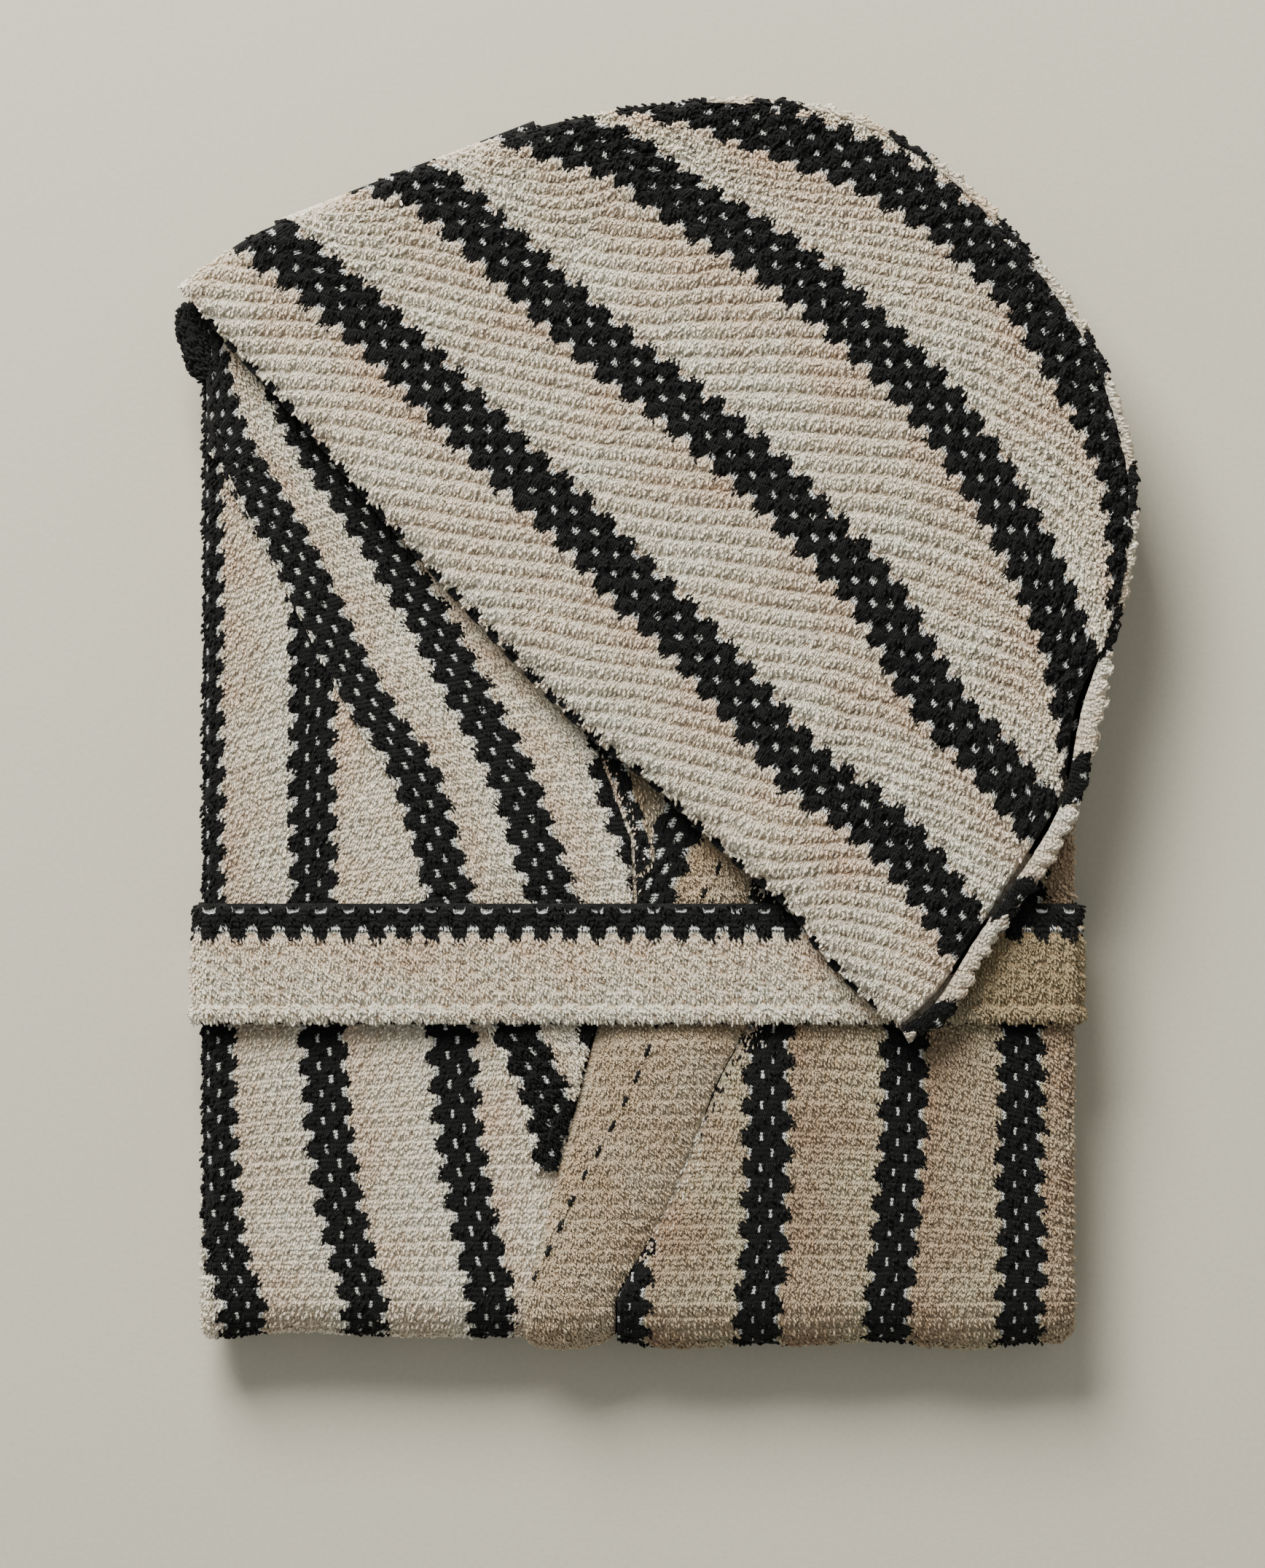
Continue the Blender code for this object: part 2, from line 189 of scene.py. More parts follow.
def soft_noise(x, y, size):
    """Gentle unevenness between -1 and 1: four sines in crossed directions, about size mm apart."""
    k = 2 * np.pi / size
    return (np.sin(k * (0.91 * x + 0.41 * y) + 0.7) + np.sin(k * (-0.37 * x + 1.07 * y) + 2.1)
            + np.sin(k * (1.43 * x - 0.59 * y) + 4.4) + np.sin(k * (0.67 * x + 1.61 * y) + 5.3)) / 4


def scatter(i, j):
    """An even spread of values from 0 to 1, one for each pair of whole numbers."""
    return np.mod(np.sin(i * 12.9898 + j * 78.233) * 43758.5453, 1.0)


# %% [markdown]
# ## From a grid to a closed piece of cloth
# A cloth is thin but has two sides, so each piece is a fine outer grid, which carries the weave, and
# a coarser inner grid, joined round the rim. Every inner square spans several outer ones, and the rim
# faces have that many corners. This keeps the detail where it is seen.

# %% A mesh from arrays


def add_piece(name, points, polygons, weave, material, flat=None, pile=(1.0, 0.0)):
    """Make a smooth mesh object from points in mm; polygons holds one index array per corner count.

    weave is the column and row at each point. pile is how far up the pile a point stands, and 1 on a
    loop or 0 on the cloth itself. flat holds, for each array of polygons, the place of each corner on
    a plain unit square, for baking.
    """
    volume = 0.0
    for p in polygons:
        for i in range(1, p.shape[1] - 1):
            a, b, c = points[p[:, 0]], points[p[:, i]], points[p[:, i + 1]]
            volume += float(np.einsum("ij,ij->i", a, np.cross(b, c)).sum())
    points[:, 2] = np.maximum(points[:, 2], 0.0)
    if volume < 0:
        polygons = [p[:, ::-1] for p in polygons]
        flat = flat and [f[:, ::-1] for f in flat]
    corners = np.concatenate([p.ravel() for p in polygons]).astype(np.int32)
    sizes = np.concatenate([np.full(len(p), p.shape[1]) for p in polygons])
    starts = np.concatenate([[0], np.cumsum(sizes)[:-1]]).astype(np.int32)
    mesh = bpy.data.meshes.new(name)
    mesh.vertices.add(len(points))
    mesh.vertices.foreach_set("co", (points * MM).astype(np.float32).ravel())
    mesh.loops.add(len(corners))
    mesh.loops.foreach_set("vertex_index", corners)
    mesh.polygons.add(len(sizes))
    mesh.polygons.foreach_set("loop_start", starts)
    mesh.polygons.foreach_set("use_smooth", np.ones(len(sizes), bool))
    layer = mesh.uv_layers.new(name="weave")
    layer.data.foreach_set("uv", weave[corners].astype(np.float32).ravel())
    pile = np.broadcast_to(np.asarray(pile, dtype=np.float32), (len(points), 2))
    layer = mesh.uv_layers.new(name="pile")
    layer.data.foreach_set("uv", pile[corners].ravel())
    if flat:
        layer = mesh.uv_layers.new(name="OFBake")
        layer.data.foreach_set("uv", np.concatenate([f.ravel() for f in flat]).astype(np.float32))
    mesh.update(calc_edges=True)
    mesh.materials.append(material)
    obj = bpy.data.objects.new(name, mesh)
    bpy.context.scene.collection.objects.link(obj)
    print(name, "triangles", int((sizes - 2).sum()))
    return obj


# %% Grids and closed cloths


def quads(index):
    """Four-cornered faces of a grid of point numbers."""
    return np.stack([index[:-1, :-1], index[:-1, 1:], index[1:, 1:], index[1:, :-1]], -1).reshape(-1, 4)


def flat_grid(shape, low, high):
    """Corner places for the faces of a grid laid flat across a unit square between two heights."""
    v, u = np.meshgrid(np.linspace(low, high, shape[0]), np.linspace(0.002, 0.998, shape[1]), indexing="ij")
    g = np.stack([u, v], -1)
    return np.stack([g[:-1, :-1], g[:-1, 1:], g[1:, 1:], g[1:, :-1]], 2).reshape(-1, 4, 2)


def rim_loop(index):
    """Point numbers once round the rim of a grid."""
    return np.concatenate([index[0, :-1], index[:-1, -1], index[-1, :0:-1], index[:0:-1, 0]])


SKIP = 4                 # rows and columns of an outer grid to one of its inner grid
# Cloth under loops takes the painted shade of the pile's roots
BARE, UNDER_LOOPS, NO_GROUND = (1.0, 0.0), (0.0, 0.0), (1.0, 1.0)     # pile values of a whole cloth


def add_cloth(name, outer, inner, weave, material, pile=BARE):
    """Close a fine outer grid with an inner one that keeps every SKIP-th row and column."""
    rows, cols = outer.shape[:2]
    index = np.arange(rows * cols).reshape(rows, cols)
    coarse = inner[::SKIP, ::SKIP]
    under = np.arange(coarse.shape[0] * coarse.shape[1]).reshape(coarse.shape[:2]) + rows * cols
    fine_rim, coarse_rim = rim_loop(index), rim_loop(under)
    after = np.roll(coarse_rim, -1)
    fan = [np.roll(fine_rim, -i)[::SKIP] for i in range(SKIP + 1)]
    rim = np.stack(fan[::-1] + [coarse_rim, after], axis=1)
    points = np.concatenate([outer.reshape(-1, 3), coarse.reshape(-1, 3)])
    uv = np.concatenate([weave.reshape(-1, 2), weave[::SKIP, ::SKIP].reshape(-1, 2)])
    place = np.linspace(0.002, 0.998, len(coarse_rim) + 1)
    rim_u = place[:-1, None] + (place[1] - place[0]) * np.array([*np.linspace(1, 0, SKIP + 1), 0, 1])
    rim_v = np.array([0.985] * (SKIP + 1) + [0.998] * 2) + 0 * rim_u
    flat = [flat_grid(index.shape, 0.002, 0.80), flat_grid(under.shape, 0.81, 0.975)[:, ::-1],
            np.stack([rim_u, rim_v], -1)]
    return add_piece(name, points, [quads(index), quads(under)[:, ::-1], rim], uv, material, flat, pile)


def steps(stops, spacings):
    """Positions from the first stop to the last, each run at its own spacing, a whole number of SKIPs."""
    parts = [np.array([stops[0]])]
    for low, high, spacing in zip(stops, stops[1:], spacings):
        count = max(1, round(abs(high - low) / spacing / SKIP)) * SKIP
        parts.append(np.linspace(low, high, count + 1)[1:])
    return np.concatenate(parts)


# %% [markdown]
# ## The weave
# The cloth is looped terry with a block pattern. A black stripe is four columns wide: raised black
# blocks alternate with small windows where the white ground shows. The cream between two stripes is a
# few wider columns of bricks with slits between them. The relief and the material both work from one
# pair of numbers, the column and the row of the weave, so they always agree.

# %% Sizes and columns of the weave

BLACK_COLUMNS = 4
MEANDER = 0.40           # how far each block reaches out of the stripe, in columns
FULLNESS = 0.30          # how much taller the blocks are than the notches between them
HALF_STRIPE = 1.78       # half width of the black, in columns
SLIT_START = 0.25        # where the first slit or rib lies, in columns from the stripe's middle


def column_number(distances, half_width, cream_columns, pitch):
    """Column of the weave at signed distances (mm) right of each black stripe's middle, left one first.

    Within half_width of a stripe a column is half_width / 2 wide. The cream columns share what is left.
    """
    d = list(distances)
    for _ in range(6):
        d = [d[0] + pitch] + d + [d[-1] - pitch]
    d = np.array(d)
    k = np.clip((d > 0).sum(axis=0) - 1, 0, len(d) - 2)
    near = np.take_along_axis(d, k[None], 0)[0]
    far = np.take_along_axis(d, k[None] + 1, 0)[0]
    period = BLACK_COLUMNS + cream_columns
    room = np.maximum(near - far - 2 * half_width, 0.5)
    cream = BLACK_COLUMNS + cream_columns * (near - half_width) / room
    column = np.where(-far < half_width, period + 2 + 2 * far / half_width, cream)
    column = np.where(near < half_width, 2 + 2 * near / half_width, column)
    return column + (k - 6) * period


# %% Relief of the weave


def ping(x, size):
    """Distance back to the nearest whole multiple of twice size."""
    return np.abs(np.mod(x + size, 2 * size) - size)


def weave_parts(column, row, cream_columns):
    """Where a point lies in the weave: columns from the stripe's middle, the wave that shifts every
    other row, how far inside the black it is, and its distances from a window's middle."""
    period = BLACK_COLUMNS + cream_columns
    c = np.mod(column - 2 + period / 2, period) - period / 2
    s = np.sin(np.pi * row)
    w = s / np.sqrt(s * s + 0.05)
    fuller = s * -np.sign(c) + FULLNESS
    reach = HALF_STRIPE + MEANDER * fuller / np.sqrt(fuller * fuller + 0.05)
    return c, w, reach - np.abs(c), ping(c + 0.5 * w, 1.0), ping(row + 0.5, 0.5)


def relief(column, row, cream_columns, dimple=0.8, ribbed=False):
    """Height of the pile from -1 to 1: domed blocks, sunken windows, and slits between the bricks.
    In ribbed cloth the bricks of neighbouring rows join into ribs across the slant."""
    c, w, inside, across, along = weave_parts(column, row, cream_columns)
    black = smoothstep(inside, -0.12, 0.12)
    ribs = np.cos(np.pi * along) ** 0.6
    block = np.sin(0.5 * np.pi * across) * ribs
    from_slit = ping(c + SLIT_START - 0.25 * w, 0.5)
    brick = np.sin(np.pi * np.clip(from_slit + 0.08, 0, 0.5)) ** 0.7 * ribs
    if ribbed:
        brick = 0.35 * brick + 0.65 * np.sin(np.pi * ping(c - 0.5 * row + SLIT_START, 0.5))
    uneven = scatter(np.floor(column * 3), np.floor(row * 3)) - 0.5
    height = black * (1.5 * block - 0.6) + (1 - black) * ((1 + dimple) * brick - dimple)
    return height + 0.4 * uneven


# %% [markdown]
# ## Loops of yarn
# What makes terry look like terry is thousands of small loops, brushed over to one side. A particle
# system could scatter them, but then they would not follow the weave. Here each loop is a small
# closed grain of nine faces, set in rows on the same grid of points as its cloth and left out where
# the ground shows. Each one takes its colour from the column and row it stands on.

# %% Grains of yarn


def unit(vectors):
    """Each vector divided by its own length."""
    return vectors / np.maximum(np.linalg.norm(vectors, axis=-1, keepdims=True), 1e-9)


CROSS = np.radians([90, 210, 330])     # corners of a loop's section, round its length
TIPS = np.array([[0, 1 + (k + 1) % 3, 1 + k] for k in range(3)]
                + [[7, 4 + k, 4 + (k + 1) % 3] for k in range(3)])
WALLS = np.array([[1 + k, 1 + (k + 1) % 3, 4 + (k + 1) % 3, 4 + k] for k in range(3)])
SPREAD = np.stack([[0.5, *(0.5 + 0.45 * np.cos(CROSS)), *(0.5 + 0.45 * np.cos(CROSS)), 0.5],
                   [0.05] + [0.3] * 3 + [0.7] * 3 + [0.95]], -1)
UP_THE_PILE = [0.12] + [0.62] * 3 + [1.0] * 3 + [0.9]


def yarn(name, root, lean, normal, length, thickness, place, material, most=12000):
    """Short grains of yarn, each from its root along lean. place is the weave position of each."""
    side = unit(np.cross(lean, normal))
    up = np.cross(side, lean)
    length = np.broadcast_to(length, (len(root),))[:, None, None]
    ring = 1.08 * thickness * (np.cos(CROSS)[:, None] * side[:, None] + np.sin(CROSS)[:, None] * up[:, None])
    rings = [root[:, None] + k * length * lean[:, None] + ring for k in (0.3, 0.8)]
    ends = [root[:, None] + k * length * lean[:, None] for k in (0.0, 1.0)]
    grains = np.concatenate([ends[0], rings[0], rings[1], ends[1]], axis=1)
    pieces = []
    count = max(1, math.ceil(len(grains) / most))
    for number, part in enumerate(np.array_split(np.arange(len(grains)), count)):
        first = (8 * np.arange(len(part)))[:, None, None]
        cells = math.ceil(math.sqrt(len(part)))
        order = np.arange(len(part))
        cell = np.stack([order % cells, order // cells], -1)[:, None, None, :]
        flat = [((SPREAD[f][None] + cell) / cells).reshape(-1, f.shape[1], 2) for f in (TIPS, WALLS)]
        pile = np.tile(np.stack([UP_THE_PILE, np.ones(8)], -1), (len(part), 1))
        pieces.append(add_piece(f"{name}_{number + 1}", grains[part].reshape(-1, 3),
                                [(TIPS + first).reshape(-1, 3), (WALLS + first).reshape(-1, 4)],
                                np.repeat(place[part], 8, axis=0), material, flat, pile))
    print(name, len(grains), "grains")
    return pieces


# %% Loops over a cloth


def add_loops(name, outer, weave, material, cream_columns, window, pitch=(1.6, 1.0), lean=(-0.42, -0.9),
              size=(2.0, 0.40), stagger=0.5, notch=1.72, most=12000):
    """Grains of yarn on a grid of cloth points, each with its root in the cloth and its tip raised.

    pitch is their spacing in mm along the grid's rows and columns, lean the level direction from root
    to tip, size the length and half thickness in mm.
    """
    rows, cols = outer.shape[:2]
    step_r = np.linalg.norm(np.diff(outer, axis=0), axis=2).mean()
    step_c = np.linalg.norm(np.diff(outer, axis=1), axis=2).mean()
    i, j = np.meshgrid(np.arange(int((rows - 1) * step_r / pitch[0])),
                       np.arange(int((cols - 1) * step_c / pitch[1])), indexing="ij")
    at_r = (i + 0.5 + stagger * np.mod(j, 2) + 0.35 * (scatter(i, j) - 0.5)) * pitch[0] / step_r
    at_c = (j + 0.5 + 0.5 * (scatter(j + 3, i) - 0.5)) * pitch[1] / step_c
    at_r, at_c = np.clip(at_r, 0, rows - 1.001).ravel(), np.clip(at_c, 0, cols - 1.001).ravel()
    r, c = at_r.astype(int), at_c.astype(int)
    a, b = (at_r - r)[:, None], (at_c - c)[:, None]

    def sample(g):
        """The grid's value between its four nearest points, each weighted by how near it is."""
        return ((1 - a) * (1 - b) * g[r, c] + (1 - a) * b * g[r, c + 1]
                + a * (1 - b) * g[r + 1, c] + a * b * g[r + 1, c + 1])

    root, place = sample(outer), sample(weave)
    normal = unit(np.cross(outer[r, c + 1] - outer[r, c], outer[r + 1, c] - outer[r, c]))
    normal = normal * np.sign(normal[:, 2].sum())
    from_middle, _, inside, across, along = weave_parts(place[:, 0], place[:, 1], cream_columns)
    in_window = (across < window[0]) & (along < window[1]) & (inside > 0)
    in_notch = (inside < 0) & (np.abs(from_middle) < notch)
    chance = scatter(i + 7, j + 5).ravel()
    keep = ~in_window & ~in_notch & ((inside < 0.25) | (chance < 0.4))
    wobble = np.stack([scatter(at_r + k, at_c) - 0.5 for k in range(3)], -1)
    level = np.array([lean[0], lean[1], 0.0]) + 0.9 * wobble
    level = unit(level - (level * normal).sum(axis=1, keepdims=True) * normal)
    lean = unit(level + 0.38 * normal)
    length = size[0] * (0.75 + 0.5 * scatter(at_c, at_r))
    return yarn(name, (root - 0.12 * normal)[keep], lean[keep], normal[keep], length[keep], size[1],
                place[keep], material, most)


# %% What a piece moves with and stands for


def dress(pieces, body):
    """Loops move with the body of their cloth."""
    for loops_piece in pieces:
        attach(loops_piece, body)
    return pieces


def fit(piece, body, node):
    """A cloth moves with its body, and the CAD node it stands for is hidden."""
    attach(piece, body)
    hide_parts(node)


# %% [markdown]
# ## Terry material
# Terry is cotton loops that stand up from a plain ground. From a hand's distance it shows small
# slanted loops, darker gaps between them, and a matt, slightly furry face that catches light at a
# low angle. The material draws the stripes, the windows and the slits from the column and row held in
# the UV map, so they bend with the cloth. Loops are about 0.9 mm wide and 2 mm long.

# %% Colours and the node helper


def linear(hex_colour):
    """sRGB hex colour as linear RGBA."""
    parts = [int(hex_colour[i:i + 2], 16) / 255 for i in (1, 3, 5)]
    return [c / 12.92 if c <= 0.04045 else ((c + 0.055) / 1.055) ** 2.4 for c in parts] + [1.0]


def add(tree, kind, values, output=0, **settings):
    """Add a node. values fills its inputs by place or by name: a socket is linked, the rest is set."""
    node = tree.nodes.new(kind)
    for key, value in settings.items():
        setattr(node, key, value)
    pairs = values.items() if isinstance(values, dict) else enumerate(values)
    for key, value in pairs:
        if isinstance(value, bpy.types.NodeSocket):
            tree.links.new(value, node.inputs[key])
        else:
            node.inputs[key].default_value = value
    return node.outputs[output]


def new_material(name):
    """A material, its node tree and its shader."""
    material = bpy.data.materials.new(name)
    material.use_nodes = True
    tree = material.node_tree
    shader = tree.nodes["Principled BSDF"]
    return material, tree, shader


# %% Colours and waves of looped cotton terry

# TAN is painted shade in the slits between cream bricks
IVORY, BEIGE, TAN = "#fdfae9", "#edd3b8", "#b39674"
SHADED_IVORY, SHADED_BEIGE = "#d2c8ab", "#b3957b"     # painted shade: the right front's cream, darker and browner for the shade on it
# Painted shade: the roll's two creams are darker for the shade the roll lies in
# The belt's end darkens to the last colour, painted shade where the hood shades it
ROLL_IVORY, ROLL_BEIGE, BELT_END_SHADE = "#dad0b9", "#cab18f", "#b3a382"
BLACK, BLACK_LOOP, GROUND = "#060708", "#101214", "#e3e7e6"
MATH, RANGE, NOISE = "ShaderNodeMath", "ShaderNodeMapRange", "ShaderNodeTexNoise"
MIX, COLOUR = "ShaderNodeMix", {"output": 2, "data_type": "RGBA"}
SMOOTH = "SMOOTHSTEP"
# Waves that part loops side by side and end to end, each as waves per column and waves per row
BODY_LOOPS, HOOD_LOOPS = ((6.0, 2.7), (0.0, 3.0)), ((1.7, 5.7), (3.0, 0.6))
BELT_LOOPS = ((3.0, 0.0), (2.4, 5.0))

# %% Place in the weave


def weave_sockets(tree, place, cream_columns):
    """Column and row, moved a little by noise; c, the columns from the stripe's middle; s = sin(pi row)
    and w = s / sqrt(s^2 + 0.05), the wave that shifts every other row."""
    weave = add(tree, "ShaderNodeUVMap", [], uv_map="weave")
    wander = add(tree, NOISE, {"Vector": place, "Scale": 420.0, "Detail": 2.0}, output=1)
    shift = add(tree, "ShaderNodeVectorMath", [wander, (0.5, 0.5, 0.5)], operation="SUBTRACT")
    shifted = add(tree, "ShaderNodeVectorMath", [shift, (0.34, 0.30, 0.0), weave], operation="MULTIPLY_ADD")
    column, row = add(tree, "ShaderNodeSeparateXYZ", [shifted]).node.outputs[:2]
    half_period = (BLACK_COLUMNS + cream_columns) / 2
    from_middle = add(tree, MATH, [column, 2.0], operation="SUBTRACT")
    c = add(tree, MATH, [from_middle, half_period, -half_period], operation="WRAP")
    angle = add(tree, MATH, [row, math.pi], operation="MULTIPLY")
    s = add(tree, MATH, [angle], operation="SINE")
    squared = add(tree, MATH, [s, s, 0.05], operation="MULTIPLY_ADD")
    steep = add(tree, MATH, [squared], operation="INVERSE_SQRT")
    w = add(tree, MATH, [s, steep], operation="MULTIPLY")
    return column, row, c, s, w


# %% Black stripe


def stripe_sockets(tree, row, c, s, teeth):
    """1 inside the black, and the columns from its middle. Blocks reach out on one side in even rows
    and on the other in odd rows, and each block's edge has one small tooth for each loop."""
    side = add(tree, MATH, [c], operation="SIGN")
    to_side = add(tree, MATH, [side, -1.0], operation="MULTIPLY")
    fuller = add(tree, MATH, [s, to_side, FULLNESS], operation="MULTIPLY_ADD")
    fuller_squared = add(tree, MATH, [fuller, fuller, 0.05], operation="MULTIPLY_ADD")
    fuller_steep = add(tree, MATH, [fuller_squared], operation="INVERSE_SQRT")
    block_wave = add(tree, MATH, [fuller, fuller_steep], operation="MULTIPLY")
    from_centre = add(tree, MATH, [c], operation="ABSOLUTE")
    out = add(tree, MATH, [block_wave, -MEANDER, from_centre], operation="MULTIPLY_ADD")
    tooth_angle = add(tree, MATH, [row, 2 * math.pi * teeth], operation="MULTIPLY")
    tooth = add(tree, MATH, [tooth_angle], operation="COSINE")
    toothed = add(tree, MATH, [tooth, 0.09, out], operation="MULTIPLY_ADD")
    black = add(tree, RANGE, [toothed, HALF_STRIPE - 0.05, HALF_STRIPE + 0.05, 1.0, 0.0],
                interpolation_type=SMOOTH)
    return black, from_centre


# %% Windows in the black


def window_sockets(tree, row, c, w, window):
    """How far up or down a point is from its row's edge, the lines of stitches that cross the white
    ground, and 1 in a window: the ground seen between four black blocks."""
    half_w = add(tree, MATH, [w, 0.5, c], operation="MULTIPLY_ADD")
    across = add(tree, MATH, [half_w, 1.0], operation="PINGPONG")
    lifted = add(tree, MATH, [row, 0.5], operation="ADD")
    along = add(tree, MATH, [lifted, 0.5], operation="PINGPONG")
    wide = add(tree, RANGE, [across, window[0] * 0.7, window[0], 1.0, 0.0], interpolation_type=SMOOTH)
    tall = add(tree, RANGE, [along, window[1] * 0.75, window[1], 1.0, 0.0], interpolation_type=SMOOTH)
    opening = add(tree, MATH, [wide, tall], operation="MULTIPLY")
    stitch_u = add(tree, MATH, [across, math.pi / 0.20], operation="MULTIPLY")
    stitch_v = add(tree, MATH, [along, math.pi / 0.105], operation="MULTIPLY")
    line_u = add(tree, MATH, [stitch_u], operation="COSINE")
    line_v = add(tree, MATH, [stitch_v], operation="COSINE")
    lines = add(tree, MATH, [line_u, line_v], operation="MAXIMUM")
    thread = add(tree, RANGE, [lines, -0.1, 0.75, 0.06, 0.95])
    return along, thread, opening


# %% Slits and loops


def slit_socket(tree, row, c, w, along, ribbed):
    """1 in the slits between cream bricks. On ribbed cloth they lean half a column each row and join."""
    slant = [row, -0.5, c] if ribbed else [w, -0.25, c]
    leaning = add(tree, MATH, slant, operation="MULTIPLY_ADD")
    offset = add(tree, MATH, [leaning, SLIT_START], operation="ADD")
    from_slit = add(tree, MATH, [offset, 0.5], operation="PINGPONG")
    slit_u = add(tree, RANGE, [from_slit, 0.02, 0.15, 1.0, 0.0], interpolation_type=SMOOTH)
    slit_v = add(tree, RANGE, [along, 0.16, 0.40, 1.0, 0.0], interpolation_type=SMOOTH)
    if ribbed:
        slit_v = add(tree, MATH, [slit_v, 0.55, 0.45], operation="MULTIPLY_ADD")
    return add(tree, MATH, [slit_u, slit_v], operation="MULTIPLY")


def loop_sockets(tree, place, column, row, loops):
    """Fine fibre noise, and the height of the pile: two crossed cosine waves with some fibre added."""
    waves = []
    for per_column, per_row in loops:
        share = add(tree, MATH, [row, 2 * math.pi * per_row], operation="MULTIPLY")
        angle = add(tree, MATH, [column, 2 * math.pi * per_column, share], operation="MULTIPLY_ADD")
        waves.append(add(tree, MATH, [angle], operation="COSINE"))
    loop = add(tree, MATH, waves, operation="ADD")
    fibre = add(tree, NOISE, {"Vector": place, "Scale": 1100.0, "Detail": 3.0})
    tangled = add(tree, RANGE, [fibre, 0.3, 0.7, -1.0, 1.0])
    half_tangled = add(tree, MATH, [tangled, 0.55], operation="MULTIPLY")
    return fibre, add(tree, MATH, [loop, 0.5, half_tangled], operation="MULTIPLY_ADD")


# %% Cream


def cream_socket(tree, place, c, cream_columns, grade, ivory, beige, warm, painted_shade_from):
    """Ivory to beige across the band and in soft clouds, and painted shade browning the cream to the right.
    """
    from_stripe = add(tree, MATH, [c, 2.0], operation="SUBTRACT")
    period = float(BLACK_COLUMNS + cream_columns)
    in_band = add(tree, MATH, [from_stripe, period], operation="FLOORED_MODULO")
    ends = [1.0, 0.0] if grade > 0 else [0.0, 1.0]
    band = add(tree, RANGE, [in_band, 0.0, float(cream_columns)] + ends)
    cloud = add(tree, NOISE, {"Vector": place, "Scale": 60.0, "Detail": 4.0})
    clouded = add(tree, MATH, [cloud, 1.5, -0.75], operation="MULTIPLY_ADD")
    tone = add(tree, MATH, [band, 0.6, clouded], operation="MULTIPLY_ADD")
    warmth = add(tree, MATH, [tone, warm], operation="ADD", use_clamp=True)
    cream = add(tree, MIX, {0: warmth, 6: linear(ivory), 7: linear(beige)}, **COLOUR)
    if painted_shade_from is None:
        return cream
    # Painted shade: the cream browns to the right of the given place
    to_the_right = add(tree, "ShaderNodeSeparateXYZ", [place])
    painted_shade = add(tree, RANGE, [to_the_right, painted_shade_from, painted_shade_from + 0.05, 0.0, 1.0])
    return add(tree, MIX, {0: painted_shade, 6: cream, 7: linear(BELT_END_SHADE)}, **COLOUR)


# %% Looped cotton terry


